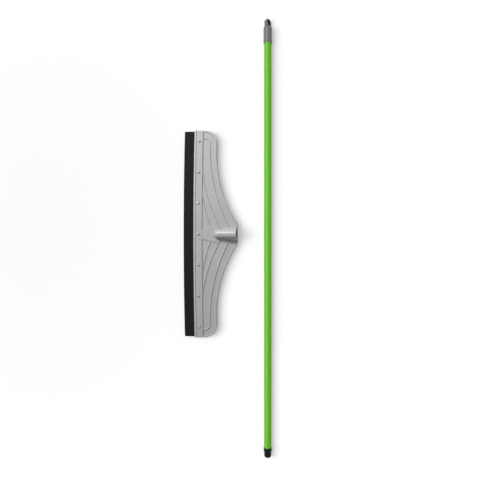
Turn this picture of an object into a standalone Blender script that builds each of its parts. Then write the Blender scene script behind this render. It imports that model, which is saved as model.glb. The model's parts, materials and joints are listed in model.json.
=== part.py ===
"""Floor squeegee: a moulded head with a double foam-rubber blade, and its threaded pole lying beside it.

Metres, +Z up, floor at Z = 0. The head lies flat with its socket side up and its blade towards -X,
and the unscrewed pole lies along Y on the socket's side. The origin is the middle of the footprint.

Head coordinates, under the empty called head: x from the front edge of the jaw at mid length towards
the socket, y along the blade from the socket's axis, z from the floor.
Pole coordinates, under the empty called pole: y along the pole from its threaded end to its hanging eye.
"""

import math

import bmesh
import bpy
from mathutils import Matrix, Vector

# Fits
GAP = 0.0003  # between faces that touch on the real thing
SEAM = 0.0006  # how far one stretch of a moulding reaches into the next before they are joined
THREAD_CLEARANCE = 0.0007  # from the pole's screw shank to the socket's bore

# Head, plan view
HEAD_LENGTH = 0.608
BOW = 0.0038  # how far the ends of the head lie behind its middle
JAW_DEPTH = 0.025
WING_DEPTH = 0.067
WING_CORNER_RADIUS = 0.037
TIP_DEPTH = 0.1305
TIP_HALF_WIDTH = 0.0293
TIP_CORNER_REACH = 0.009
SWEEP_RADIUS = 0.385  # of the trailing edge between tip and wing

# Head, levels and walls
FLOOR_CLEARANCE = 0.0008  # under the clamp bar
FOAM_THICKNESS = 0.0063
JAW_THICKNESS = 0.0035
JAW_STEP = 0.0028  # the jaw's flat stands this far above the web
WEB_THICKNESS = 0.0028
SKIRT_WALL = 0.0030
SKIRT_DRAFT = 0.0014  # the outer face leans in by this much from the floor to the rim
JAW_BACK_WALL = 0.0025
RIM_WIDTH = 0.0070
RIM_CREST = 0.0060
RIM_HEIGHT = 0.0016
RIM_EDGE_ROUND = 0.0006
LIP_WIDTH = 0.0050
LIP_HEIGHT = 0.0014
LIP_GROOVE_WIDTH = 0.0020
LIP_GROOVE_DEPTH = 0.0012
JAW_EDGE_ROUND = 0.0008

# Swept ribs on the web: how far behind the trailing edge's sweep each begins, and its own radius
RIB_WIDTH = 0.0034
RIB_CREST = 0.0018
RIB_HEIGHT = 0.0021
OUTER_RIB_INSET = 0.022  # from the wing's edge
OUTER_RIB_LEAD = 0.017
OUTER_RIB_RADIUS = 0.512
OUTER_RIB_HOOK_RADIUS = 0.013
OUTER_RIB_HOOK_INSET = 0.025  # from the end of the head
MIDDLE_RIB_LEAD = -0.015
MIDDLE_RIB_RADIUS = 0.416
INNER_RIB_LEAD = -0.082
INNER_RIB_RADIUS = 0.367

# Raised pad between the jaw and the socket
PAD_HEIGHT = 0.0022
PAD_FRONT_HALF_WIDTH = 0.0145
PAD_BACK_HALF_WIDTH = 0.0275
PAD_REACH = 0.0133  # past the tip of the socket's nose
PAD_TAPER = 0.012

# Stiffening under the web
UNDER_RIB_WALL = 0.0022
UNDER_RIB_LIFT = 0.0040  # above the floor
CROSS_RIB_COUNT = 6  # on each side of the socket
CROSS_RIB_END_INSET = 0.034
KEEL_CLEARANCE = 0.0037  # from the socket's side

# Socket
SOCKET_TILT = math.radians(12)
SOCKET_WALL = 0.00235
SOCKET_LENGTH = 0.0686
SOCKET_NOSE_LENGTH = 0.0125
SOCKET_BORE_RELIEF = 0.0265  # of the bore past the screw shank
SOCKET_LIFT = 0.0040  # of the mouth's lowest point above the web
SOCKET_MOUTH_CHAMFER = 0.0006
SOCKET_MOUTH_SETBACK = 0.0037  # centre of the mouth in front of the tip
FAIRING_HALF_WIDTH = 0.0205
FAIRING_LEAN = 0.0030  # of its flanks at the mouth, from the web to the ledge beside the tube
FAIRING_SETBACK = 0.0022  # of its end behind the mouth
FAIRING_NOSE_TUCK = 0.0010  # of the fairing inside the tube at the nose
FAIRING_OVERLAP = 0.0040  # over the length of the nose

# Foam strips
FOAM_REACH = 0.0293
FOAM_END_CLEARANCE = 0.0010
FOAM_EDGE_RADIUS = 0.0009
FOAM_CORNER_RADIUS = 0.0035

# Rivets, in a row along the jaw
RIVET_COUNT = 7
RIVET_END_INSET = 0.0325
RIVET_SETBACK = 0.0138
RIVET_SHANK_RADIUS = 0.0020
RIVET_HEAD_RADIUS = 0.0040
RIVET_HEAD_HEIGHT = 0.0028
RIVET_TAIL_RADIUS = 0.0033
RIVET_TAIL_HEIGHT = 0.0008
RIVET_TAIL_EDGE = 0.0003
WASHER_RADIUS = 0.0048
WASHER_THICKNESS = 0.0008
POCKET_CLEARANCE = 0.0006  # round the washer
TAIL_RECESS = 0.0002  # of the rivet's end inside its pocket
CLAMP_SEAT = 0.0020  # plastic between pocket and foam
CLAMP_FRONT_RISE = 0.0010
CLAMP_FRONT_RUN = 0.0020

# Pole
POLE_LENGTH = 1.290
POLE_DISTANCE = 0.218  # pole's axis from the front edge of the jaw
POLE_SHIFT = -0.012  # middle of the pole along y, from the socket's axis
POLE_RADIUS = 0.0110
COATING_WALL = 0.0005
TUBE_WALL = 0.0007

# Threaded insert
NECK_LENGTH = 0.0110
NECK_LEDGE = 0.0006  # of the neck over the coating
NECK_EDGE = 0.0008
SHANK_LENGTH = 0.0175
SHANK_RADIUS = 0.0102
SHANK_TIP_ROUND = 0.0040
PLUG_LENGTH = 0.035

# Hanger cap
CAP_SLEEVE_LENGTH = 0.0475
CAP_WALL = 0.0012
CAP_MOUTH_EDGE = 0.0004
CAP_SHOULDER_EDGE = 0.0015
CAP_CROWN_THICKNESS = 0.0030
EYE_LENGTH = 0.0245
EYE_WIDTH = 0.0205
EYE_THICKNESS = 0.0090
EYE_SIDE_WALL = 0.0040
EYE_TOP_WALL = 0.0042
EYE_FOOT_WALL = 0.0053
EYE_TURN = math.radians(46)  # of the eye's flat face about the pole, from facing up

# Facets
ROUND_STEPS = 32
FINE_STEPS = 16
LONG_STEPS = 24

# Levels of the head, from the floor up
HALF_LENGTH = HEAD_LENGTH / 2
POCKET_TOP = FLOOR_CLEARANCE + TAIL_RECESS + RIVET_TAIL_HEIGHT + WASHER_THICKNESS + 2 * GAP
CLAMP_TOP = POCKET_TOP + CLAMP_SEAT
LOWER_FOAM_BOTTOM = CLAMP_TOP + GAP
UPPER_FOAM_BOTTOM = LOWER_FOAM_BOTTOM + FOAM_THICKNESS + GAP
JAW_BOTTOM = UPPER_FOAM_BOTTOM + FOAM_THICKNESS + GAP
JAW_TOP = JAW_BOTTOM + JAW_THICKNESS
WEB_TOP = JAW_TOP - JAW_STEP
WEB_BOTTOM = WEB_TOP - WEB_THICKNESS
RIM_TOP = WEB_TOP + RIM_HEIGHT

# Places along the blade and across the head
RIVET_HOLE_RADIUS = RIVET_SHANK_RADIUS + GAP
RIVET_PITCH = (HEAD_LENGTH - 2 * RIVET_END_INSET) / (RIVET_COUNT - 1)
RIVET_PLACES = [i * RIVET_PITCH + RIVET_END_INSET - HALF_LENGTH for i in range(RIVET_COUNT)]
CROSS_RIB_PITCH = (HALF_LENGTH - CROSS_RIB_END_INSET) / CROSS_RIB_COUNT
SWEEP_RISE = TIP_DEPTH - WING_DEPTH
SWEEP_START = TIP_HALF_WIDTH + math.sqrt(2 * SWEEP_RADIUS * SWEEP_RISE - SWEEP_RISE ** 2)
RIB_ROOT = JAW_DEPTH - RIB_WIDTH / 2 - GAP  # hidden in the jaw until the rib parts from it

# Socket
BORE_RADIUS = SHANK_RADIUS + THREAD_CLEARANCE
BORE_DEPTH = SHANK_LENGTH + SOCKET_BORE_RELIEF
SOCKET_RADIUS = BORE_RADIUS + SOCKET_WALL
SOCKET_AXIS = Vector((math.cos(SOCKET_TILT), 0, math.sin(SOCKET_TILT)))
SOCKET_UP = Vector((-math.sin(SOCKET_TILT), 0, math.cos(SOCKET_TILT)))
SOCKET_MOUTH_HEIGHT = WEB_TOP + SOCKET_LIFT + SOCKET_RADIUS * math.cos(SOCKET_TILT)
SOCKET_MOUTH = Vector((TIP_DEPTH - SOCKET_MOUTH_SETBACK, 0, SOCKET_MOUTH_HEIGHT))
NOSE_TIP = SOCKET_MOUTH - SOCKET_AXIS * SOCKET_LENGTH
FAIRING_LENGTH = SOCKET_LENGTH - SOCKET_NOSE_LENGTH + FAIRING_OVERLAP - FAIRING_SETBACK
FAIRING_NOSE_HALF_WIDTH = SOCKET_RADIUS - FAIRING_NOSE_TUCK
KEEL_OFFSET = SOCKET_RADIUS + KEEL_CLEARANCE

# Pole, from the tip of its screw
NECK_RADIUS = POLE_RADIUS + NECK_LEDGE
NECK_END = SHANK_LENGTH + NECK_LENGTH
TUBE_RADIUS = POLE_RADIUS - COATING_WALL - GAP
TUBE_START = NECK_END + GAP
CAP_BORE_RADIUS = POLE_RADIUS + GAP
CAP_RADIUS = CAP_BORE_RADIUS + CAP_WALL
CAP_SHOULDER = POLE_LENGTH - EYE_LENGTH
CAP_MOUTH = CAP_SHOULDER - CAP_SLEEVE_LENGTH
TUBE_END = CAP_SHOULDER - CAP_CROWN_THICKNESS - GAP

FOOTPRINT_MIDDLE = ((POLE_DISTANCE + CAP_RADIUS - FOAM_REACH) / 2, POLE_SHIFT)


def bow(y):
    """How far the section of the head at y lies behind the one at mid length."""
    return BOW * (y / HALF_LENGTH) ** 2


def spaced(start, end, steps):
    return [start + (end - start) * i / steps for i in range(steps + 1)]


def arc(centre, radius, start_deg, end_deg, steps):
    turns = [math.radians(a) for a in spaced(start_deg, end_deg, steps)]
    return [(centre[0] + radius * math.cos(a), centre[1] + radius * math.sin(a)) for a in turns]


def rounded_corner(before, corner, after, steps):
    """Points of a curve that leaves before towards the corner and arrives at after from it."""
    points = []
    for t in spaced(0, 1, steps):
        points.append(tuple((1 - t) ** 2 * b + 2 * t * (1 - t) * c + t * t * a
                            for b, c, a in zip(before, corner, after)))
    return points


def swept_x(y, offset, start, radius):
    """x at y of a line that runs straight at offset outside start and curves back towards the tip inside it."""
    return offset + radius - math.sqrt(radius ** 2 - max(start - y, 0) ** 2)


def swept_line(offset, start, radius, first, last, steps):
    return [(swept_x(y, offset, start, radius), y) for y in spaced(first, last, steps)]


def edge_half():
    """Trailing edge of the head from its front corner at +y to the tip, before the bow."""
    wing_centre = (WING_DEPTH - WING_CORNER_RADIUS, HALF_LENGTH - WING_CORNER_RADIUS)
    tip_corner = (TIP_DEPTH, TIP_HALF_WIDTH)
    points = [(0, HALF_LENGTH), (min(JAW_DEPTH, wing_centre[0] - SEAM), HALF_LENGTH)]
    points += arc(wing_centre, WING_CORNER_RADIUS, 90, 0, 10)
    points += swept_line(WING_DEPTH, SWEEP_START, SWEEP_RADIUS, wing_centre[1],
                         TIP_HALF_WIDTH + TIP_CORNER_REACH, 17)[1:]
    points += rounded_corner(points[-1], tip_corner, (TIP_DEPTH, TIP_HALF_WIDTH - TIP_CORNER_REACH), 4)[1:]
    return points


def edge_x(y):
    """Depth of the head at y, before the bow."""
    into_corner = max(abs(y) - HALF_LENGTH + WING_CORNER_RADIUS, 0)
    rounding = WING_CORNER_RADIUS - math.sqrt(WING_CORNER_RADIUS ** 2 - into_corner ** 2)
    return min(swept_x(abs(y), WING_DEPTH, SWEEP_START, SWEEP_RADIUS), TIP_DEPTH) - rounding


def mirrored(points):
    """A half line from +y to the middle, carried on to its mirror image."""
    return points + [(x, -y) for x, y in reversed(points)]


def bowed(points):
    return [(x + bow(y), y) for x, y in points]


def both_sides(line):
    """A line on the +y side and its mirror image, each bowed with the head."""
    return [bowed(line), bowed([(x, -y) for x, y in line])]


def shifted(points, distance):
    """The line moved sideways by distance, to the right of its direction of travel."""
    moved = []
    last = len(points) - 1
    for i, point in enumerate(points):
        here = Vector(point)
        before = (here - Vector(points[max(i - 1, 0)])).normalized()
        after = (Vector(points[min(i + 1, last)]) - here).normalized()
        way = (before + after).normalized()
        reach = distance / max(way.dot(after if i < last else before), 0.5)
        moved.append((here.x + way.y * reach, here.y - way.x * reach))
    return moved


def level(points, z):
    return [(x, y, z) for x, y in points]


def loft(loops):
    """A closed mesh through loops of as many points each, with flat ends."""
    mesh = bmesh.new()
    rings = [[mesh.verts.new(point) for point in loop] for loop in loops]
    for lower, upper in zip(rings, rings[1:]):
        for i in range(len(lower)):
            j = (i + 1) % len(lower)
            mesh.faces.new((lower[i], lower[j], upper[j], upper[i]))
    mesh.faces.new(rings[0])
    mesh.faces.new(rings[-1])
    bmesh.ops.recalc_face_normals(mesh, faces=mesh.faces)
    return mesh


def prism(outline, bottom, top):
    return loft([level(outline, bottom), level(outline, top)])


def swept(line, section):
    """A section carried along a line: each of its points a distance to the line's right, and a height."""
    rails = [level(shifted(line, distance), z) for distance, z in section]
    return loft([list(loop) for loop in zip(*rails)])


def wall(line, width, bottom, top, crest=None):
    """An upright wall on a line, width thick at its foot and crest thick at its top."""
    foot = width / 2
    crown = (crest or width) / 2
    return swept(line, [(-foot, bottom), (foot, bottom), (crown, top), (-crown, top)])


def along_blade(section, half_length):
    """A section in x and z carried along the bowed length of the head."""
    places = spaced(-half_length, half_length, LONG_STEPS)
    return loft([[(x + bow(y), y, z) for x, z in section] for y in places])


def turned(profile, steps):
    """A profile of radius and height spun about z: solid where it starts and ends on the axis, else a ring."""
    mesh = bmesh.new()
    points = [mesh.verts.new((r, 0, z)) for r, z in profile]
    edges = [mesh.edges.new(pair) for pair in zip(points, points[1:])]
    if profile[0][0] > 0:
        edges.append(mesh.edges.new((points[-1], points[0])))
    bmesh.ops.spin(mesh, geom=points + edges, cent=(0, 0, 0), axis=(0, 0, 1),
                   angle=math.tau, steps=steps, use_merge=True)
    bmesh.ops.remove_doubles(mesh, verts=mesh.verts, dist=1e-6)
    bmesh.ops.recalc_face_normals(mesh, faces=mesh.faces)
    return mesh


def rod(radius, bottom, top, steps):
    return turned([(0, bottom), (radius, bottom), (radius, top), (0, top)], steps)


def dome(radius, height, base, steps):
    """Profile points from the rim of a dome to its crown on the axis."""
    points = [(radius * math.cos(a), base + height * math.sin(a)) for a in spaced(0, math.pi / 2, steps)]
    return points[:-1] + [(0, base + height)]


def merged(meshes):
    """Several separate shells in one mesh."""
    whole = bmesh.new()
    for mesh in meshes:
        data = bpy.data.meshes.new("shell")
        mesh.to_mesh(data)
        mesh.free()
        whole.from_mesh(data)
        bpy.data.meshes.remove(data)
    return whole


def material(name, colour, roughness, metallic=0.0):
    made = bpy.data.materials.new(name)
    made.use_nodes = True
    shader = made.node_tree.nodes["Principled BSDF"]
    shader.inputs["Base Color"].default_value = (*colour, 1)
    shader.inputs["Roughness"].default_value = roughness
    shader.inputs["Metallic"].default_value = metallic
    made.diffuse_color = (*colour, 1)
    return made


def shade(data):
    data.shade_smooth()
    data.set_sharp_from_angle(angle=math.radians(35))


def add(name, mesh, finish, parent):
    """Makes a named object of a bmesh, under the empty that places it."""
    data = bpy.data.meshes.new(name)
    mesh.to_mesh(data)
    mesh.free()
    shade(data)
    if finish:
        data.materials.append(finish)
    made = bpy.data.objects.new(name, data)
    made.parent = parent
    bpy.context.scene.collection.objects.link(made)
    return made


def combine(target, mesh, name, operation):
    """Joins a mesh to the target, or cuts it out, by a Boolean modifier on a hidden guide."""
    guide = add(name, mesh, None, target.parent)
    guide.hide_render = True
    guide.display_type = "WIRE"
    step = target.modifiers.new(name, "BOOLEAN")
    step.operation = operation
    step.solver = "EXACT"
    step.object = guide


def joined(target, mesh, name):
    combine(target, mesh, name, "UNION")


def cut(target, mesh, name):
    combine(target, mesh, name, "DIFFERENCE")


def settled(target):
    """Fixes a piece's joins and cuts into its mesh, and shades the edges that they made."""
    guides = [step.object for step in target.modifiers]
    graph = bpy.context.evaluated_depsgraph_get()
    data = bpy.data.meshes.new_from_object(target.evaluated_get(graph))
    target.modifiers.clear()
    plain = target.data
    target.data = data
    bpy.data.meshes.remove(plain)
    data.name = target.name
    shade(data)
    for guide in guides:
        bpy.data.objects.remove(guide)
    return target


def jaw_section():
    """Jaw strip with its front lip and groove, and the wall that the foam butts against."""
    wall_back = JAW_DEPTH + JAW_BACK_WALL
    lip = []
    for a in spaced(0, math.pi, 6)[:-1]:
        lip.append((LIP_WIDTH * (1 - math.cos(a)) / 2, JAW_TOP + LIP_HEIGHT * math.sin(a)))
    return [(0, JAW_BOTTOM)] + lip + [
        (LIP_WIDTH, JAW_TOP - LIP_GROOVE_DEPTH),
        (LIP_WIDTH + LIP_GROOVE_WIDTH, JAW_TOP),
        (JAW_DEPTH - JAW_EDGE_ROUND, JAW_TOP),
        (JAW_DEPTH, JAW_TOP - JAW_EDGE_ROUND),
        (JAW_DEPTH, WEB_TOP - SEAM),
        (wall_back, WEB_TOP - SEAM),
        (wall_back, 0),
        (JAW_DEPTH, 0),
        (JAW_DEPTH, JAW_BOTTOM),
    ]


def web_outline():
    """Plan of the web, from the middle of the jaw's back wall to just inside the trailing edge."""
    front = JAW_DEPTH + JAW_BACK_WALL / 2
    end = HALF_LENGTH - SKIRT_DRAFT - SEAM
    back_edge = [p for p in shifted(edge_half(), SKIRT_DRAFT + SEAM) if p[0] > front]
    front_edge = [(front, y) for y in spaced(-end, end, LONG_STEPS)]
    return bowed(mirrored(back_edge) + front_edge)


def outer_rib():
    """Rib that leaves the jaw near its end in a hook and sweeps to the socket's fairing."""
    offset = WING_DEPTH - OUTER_RIB_INSET
    hook_line = HALF_LENGTH - OUTER_RIB_HOOK_INSET
    hook_centre = (offset - OUTER_RIB_HOOK_RADIUS, hook_line - OUTER_RIB_HOOK_RADIUS)
    line = [(JAW_DEPTH - SEAM, hook_line)]
    line += arc(hook_centre, OUTER_RIB_HOOK_RADIUS, 90, 0, 8)
    line += swept_line(offset, SWEEP_START + OUTER_RIB_LEAD, OUTER_RIB_RADIUS, hook_centre[1],
                       SOCKET_RADIUS + SEAM, 16)[1:]
    return line


def middle_rib():
    """Rib that parts from the jaw and sweeps past the pad to the fairing."""
    start = SWEEP_START + MIDDLE_RIB_LEAD
    return swept_line(RIB_ROOT, start, MIDDLE_RIB_RADIUS, start, SOCKET_RADIUS - SEAM, 13)


def inner_rib():
    """Short rib that parts from the jaw and ends in the pad."""
    start = SWEEP_START + INNER_RIB_LEAD
    return swept_line(RIB_ROOT, start, INNER_RIB_RADIUS, start, PAD_FRONT_HALF_WIDTH + SEAM, 8)


def border():
    """Skirt and raised rim, one section carried round the head from one front corner to the other."""
    section = [
        (0, 0),
        (SKIRT_DRAFT, RIM_TOP - RIM_EDGE_ROUND),
        (SKIRT_DRAFT + RIM_EDGE_ROUND, RIM_TOP),
        (RIM_CREST, RIM_TOP),
        (RIM_WIDTH, WEB_TOP - SEAM / 2),
        (SKIRT_WALL, WEB_TOP - SEAM),
        (SKIRT_WALL, 0),
    ]
    return swept(bowed(mirrored(edge_half())), section)


def surface_ribs():
    ribs = []
    for line in (outer_rib(), middle_rib(), inner_rib()):
        for side in both_sides(line):
            ribs.append(wall(side, RIB_WIDTH, WEB_TOP - SEAM, WEB_TOP + RIB_HEIGHT, RIB_CREST))
    return merged(ribs)


def pad():
    back = NOSE_TIP.x + PAD_REACH
    half = [
        (JAW_DEPTH - SEAM, PAD_FRONT_HALF_WIDTH),
        (back, PAD_BACK_HALF_WIDTH),
        (back + PAD_TAPER / 2, PAD_BACK_HALF_WIDTH - PAD_TAPER),
    ]
    return prism(bowed(mirrored(half)), WEB_TOP - SEAM, WEB_TOP + PAD_HEIGHT)


def under_walls(line):
    """A line's stiffening walls under the web, one on each side of the socket."""
    return [wall(side, UNDER_RIB_WALL, UNDER_RIB_LIFT, WEB_BOTTOM + SEAM) for side in both_sides(line)]


def cross_ribs():
    walls = []
    for i in range(1, CROSS_RIB_COUNT + 1):
        y = i * CROSS_RIB_PITCH
        walls += under_walls([(JAW_DEPTH + JAW_BACK_WALL - SEAM, y), (edge_x(y) - SKIRT_WALL + SEAM, y)])
    return merged(walls)


def keels():
    """Two walls beside the socket, from the jaw to the tip."""
    ends = (JAW_DEPTH + JAW_BACK_WALL - SEAM, TIP_DEPTH - SKIRT_WALL + SEAM)
    return merged(under_walls([(x, KEEL_OFFSET) for x in ends]))


def under_sweeps():
    """Walls under the outer ribs, from the last cross ribs to the keels."""
    return merged(under_walls(swept_line(WING_DEPTH - OUTER_RIB_INSET, SWEEP_START + OUTER_RIB_LEAD,
                                         OUTER_RIB_RADIUS, CROSS_RIB_COUNT * CROSS_RIB_PITCH,
                                         KEEL_OFFSET, 14)))


def along_socket(mesh):
    """Puts a shape modelled inwards from a mouth at z = 0 into the socket's place."""
    turn = Vector((0, 0, 1)).rotation_difference(SOCKET_AXIS).to_matrix().to_4x4()
    bmesh.ops.transform(mesh, matrix=Matrix.Translation(SOCKET_MOUTH) @ turn, verts=mesh.verts)
    return mesh


def socket_tube():
    nose_base = SOCKET_LENGTH - SOCKET_NOSE_LENGTH
    profile = [(0, 0), (SOCKET_RADIUS - SOCKET_MOUTH_CHAMFER, 0), (SOCKET_RADIUS, -SOCKET_MOUTH_CHAMFER)]
    profile += [(r, -z) for r, z in dome(SOCKET_RADIUS, SOCKET_NOSE_LENGTH, nose_base, 7)]
    return along_socket(turned(profile, ROUND_STEPS))


def socket_bore():
    chamfer = SOCKET_MOUTH_CHAMFER
    profile = [
        (0, SEAM),
        (BORE_RADIUS + chamfer + SEAM, SEAM),
        (BORE_RADIUS, -chamfer),
        (BORE_RADIUS, -BORE_DEPTH),
        (0, -BORE_DEPTH),
    ]
    return along_socket(turned(profile, ROUND_STEPS))


def fairing():
    """The flared foot that carries the socket: steep flanks, and a ledge beside the tube at its axis."""
    base = WEB_TOP - SEAM
    loops = []
    for part in spaced(0, 1, 6):
        centre = SOCKET_MOUTH - SOCKET_AXIS * (FAIRING_SETBACK + part * FAIRING_LENGTH)
        foot = FAIRING_HALF_WIDTH + (FAIRING_NOSE_HALF_WIDTH - FAIRING_HALF_WIDTH) * part
        ledge = foot - FAIRING_LEAN * (1 - part)
        below = centre + SOCKET_UP * (base - centre.z) / SOCKET_UP.z
        flank = [(below.x, foot, below.z), (centre.x, ledge, centre.z)]
        loops.append(flank + [(x, -y, z) for x, y, z in reversed(flank)])
    return loft(loops)


def rivet_rods(radius, bottom, top):
    """Upright rods at the rivets' places."""
    rods = []
    for y in RIVET_PLACES:
        mesh = rod(radius, bottom, top, FINE_STEPS)
        bmesh.ops.translate(mesh, vec=(RIVET_SETBACK + bow(y), y, 0), verts=mesh.verts)
        rods.append(mesh)
    return merged(rods)


def make_body(head, finish):
    """One moulding: jaw, swept web with rim, skirt and ribs, and the tilted socket on its fairing."""
    body = add("body", along_blade(jaw_section(), HALF_LENGTH - SKIRT_DRAFT), finish, head)
    joined(body, prism(web_outline(), WEB_BOTTOM, WEB_TOP), "web")
    joined(body, border(), "border")
    joined(body, surface_ribs(), "surface_ribs")
    joined(body, pad(), "pad")
    joined(body, cross_ribs(), "cross_ribs")
    joined(body, keels(), "keels")
    joined(body, under_sweeps(), "under_sweeps")
    joined(body, fairing(), "fairing")
    joined(body, socket_tube(), "socket")
    cut(body, socket_bore(), "socket_bore")
    cut(body, rivet_rods(RIVET_HOLE_RADIUS, JAW_BOTTOM - SEAM, JAW_TOP + SEAM), "jaw_holes")
    settled(body)


def make_clamp_bar(head, finish):
    """Lower jaw, with pockets that keep the rivets' ends off the floor."""
    back = JAW_DEPTH - GAP
    section = [
        (0, FLOOR_CLEARANCE + CLAMP_FRONT_RISE),
        (0, CLAMP_TOP),
        (back, CLAMP_TOP),
        (back, FLOOR_CLEARANCE),
        (CLAMP_FRONT_RUN, FLOOR_CLEARANCE),
    ]
    bar = add("clamp_bar", along_blade(section, HALF_LENGTH - SKIRT_WALL - GAP), finish, head)
    pocket_radius = WASHER_RADIUS + POCKET_CLEARANCE
    cut(bar, rivet_rods(pocket_radius, FLOOR_CLEARANCE - SEAM, POCKET_TOP), "rivet_pockets")
    cut(bar, rivet_rods(RIVET_HOLE_RADIUS, POCKET_TOP - SEAM, CLAMP_TOP + SEAM), "clamp_holes")
    settled(bar)


def make_foam(name, bottom, head, finish):
    """One strip of the blade: soft edges, and free corners rounded in plan."""
    top = bottom + FOAM_THICKNESS
    half = HALF_LENGTH - SKIRT_WALL - FOAM_END_CLEARANCE
    edge = FOAM_EDGE_RADIUS
    corner = FOAM_CORNER_RADIUS
    turns = spaced(0, math.pi / 2, 4)
    straight = spaced(corner - half, half - corner, LONG_STEPS)[1:-1]
    places = [(corner * (1 - math.cos(a)), -half + corner * (1 - math.sin(a))) for a in reversed(turns)]
    places += [(0, y) for y in straight]
    places += [(corner * (1 - math.cos(a)), half - corner * (1 - math.sin(a))) for a in turns]
    loops = []
    for held_back, y in places:
        front = -FOAM_REACH + held_back + bow(y)
        back = JAW_DEPTH - GAP + bow(y)
        loops.append([
            (back, y, bottom),
            (front + edge, y, bottom),
            (front, y, bottom + edge),
            (front, y, top - edge),
            (front + edge, y, top),
            (back, y, top),
        ])
    foam = add(name, loft(loops), finish, head)
    cut(foam, rivet_rods(RIVET_HOLE_RADIUS, bottom - SEAM, top + SEAM), name + "_holes")
    settled(foam)


def rivet_mesh():
    """Domed head on the jaw, shank, and the end formed over the washer."""
    head_bottom = JAW_TOP + GAP
    tail_bottom = FLOOR_CLEARANCE + TAIL_RECESS
    tail_top = tail_bottom + RIVET_TAIL_HEIGHT
    profile = [
        (0, tail_bottom),
        (RIVET_TAIL_RADIUS - RIVET_TAIL_EDGE, tail_bottom),
        (RIVET_TAIL_RADIUS, (tail_bottom + tail_top) / 2),
        (RIVET_TAIL_RADIUS - RIVET_TAIL_EDGE, tail_top),
        (RIVET_SHANK_RADIUS, tail_top),
        (RIVET_SHANK_RADIUS, head_bottom),
    ]
    return turned(profile + dome(RIVET_HEAD_RADIUS, RIVET_HEAD_HEIGHT, head_bottom, 5), FINE_STEPS)


def washer_mesh():
    top = POCKET_TOP - GAP
    bottom = top - WASHER_THICKNESS
    hole = RIVET_HOLE_RADIUS
    return turned([(hole, bottom), (WASHER_RADIUS, bottom), (WASHER_RADIUS, top), (hole, top)], FINE_STEPS)


def make_row(name, mesh, finish, head):
    """Copies of one fastener at the rivets' places."""
    first = add(f"{name}_1", mesh, finish, head)
    row = [first]
    for number in range(2, RIVET_COUNT + 1):
        piece = bpy.data.objects.new(f"{name}_{number}", first.data)
        piece.parent = head
        bpy.context.scene.collection.objects.link(piece)
        row.append(piece)
    for piece, y in zip(row, RIVET_PLACES):
        piece.location = (RIVET_SETBACK + bow(y), y, 0)


def along_pole(mesh):
    """Lays a shape turned about z along the pole's y."""
    bmesh.ops.rotate(mesh, verts=mesh.verts, cent=(0, 0, 0), matrix=Matrix.Rotation(-math.pi / 2, 3, "X"))
    return mesh


def sleeve(outer, inner):
    """Tube from the threaded insert's neck to the cap's crown."""
    profile = [(inner, TUBE_START), (outer, TUBE_START), (outer, TUBE_END), (inner, TUBE_END)]
    return along_pole(turned(profile, ROUND_STEPS))


def make_insert(pole, finish):
    """Plastic plug with a neck and a screw shank, round at its tip."""
    plug_radius = TUBE_RADIUS - TUBE_WALL - GAP
    profile = [(0, 0)]
    for a in spaced(0, math.pi / 2, 5):
        profile.append((SHANK_RADIUS - SHANK_TIP_ROUND * (1 - math.sin(a)), SHANK_TIP_ROUND * (1 - math.cos(a))))
    profile += [
        (SHANK_RADIUS, SHANK_LENGTH),
        (NECK_RADIUS - NECK_EDGE, SHANK_LENGTH),
        (NECK_RADIUS, SHANK_LENGTH + NECK_EDGE),
        (NECK_RADIUS, NECK_END),
        (plug_radius, NECK_END),
        (plug_radius, NECK_END + PLUG_LENGTH),
        (0, NECK_END + PLUG_LENGTH),
    ]
    add("threaded_insert", along_pole(turned(profile, ROUND_STEPS)), finish, pole)


def eye_slab(outline, thickness):
    """An outline across and along the pole, thickness thick, turned about the pole to the eye's angle."""
    half = thickness / 2
    mesh = loft([[(x, y, z) for x, y in outline] for z in (-half, half)])
    bmesh.ops.rotate(mesh, verts=mesh.verts, cent=(0, 0, 0), matrix=Matrix.Rotation(EYE_TURN, 3, "Y"))
    return mesh


def make_cap(pole, finish):
    """Sleeve over the pole's end, closed by a crown that carries the hanging eye."""
    crown_start = CAP_SHOULDER - CAP_CROWN_THICKNESS
    profile = [
        (CAP_BORE_RADIUS, CAP_MOUTH),
        (CAP_RADIUS - CAP_MOUTH_EDGE, CAP_MOUTH),
        (CAP_RADIUS, CAP_MOUTH + CAP_MOUTH_EDGE),
        (CAP_RADIUS, CAP_SHOULDER - CAP_SHOULDER_EDGE),
        (CAP_RADIUS - CAP_SHOULDER_EDGE, CAP_SHOULDER),
        (0, CAP_SHOULDER),
        (0, crown_start),
        (CAP_BORE_RADIUS, crown_start),
    ]
    cap = add("hanger_cap", along_pole(turned(profile, ROUND_STEPS)), finish, pole)
    half_width = EYE_WIDTH / 2
    tongue = [(half_width, CAP_SHOULDER - SEAM)]
    tongue += arc((0, POLE_LENGTH - half_width), half_width, 0, 180, 14)
    tongue += [(-half_width, CAP_SHOULDER - SEAM)]
    joined(cap, eye_slab(tongue, EYE_THICKNESS), "eye_tongue")
    hole_radius = half_width - EYE_SIDE_WALL
    hole = arc((0, POLE_LENGTH - EYE_TOP_WALL - hole_radius), hole_radius, 0, 180, 10)
    hole += arc((0, CAP_SHOULDER + EYE_FOOT_WALL + hole_radius), hole_radius, 180, 360, 10)
    cut(cap, eye_slab(hole, EYE_THICKNESS * 2), "eye_hole")
    settled(cap)


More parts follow.
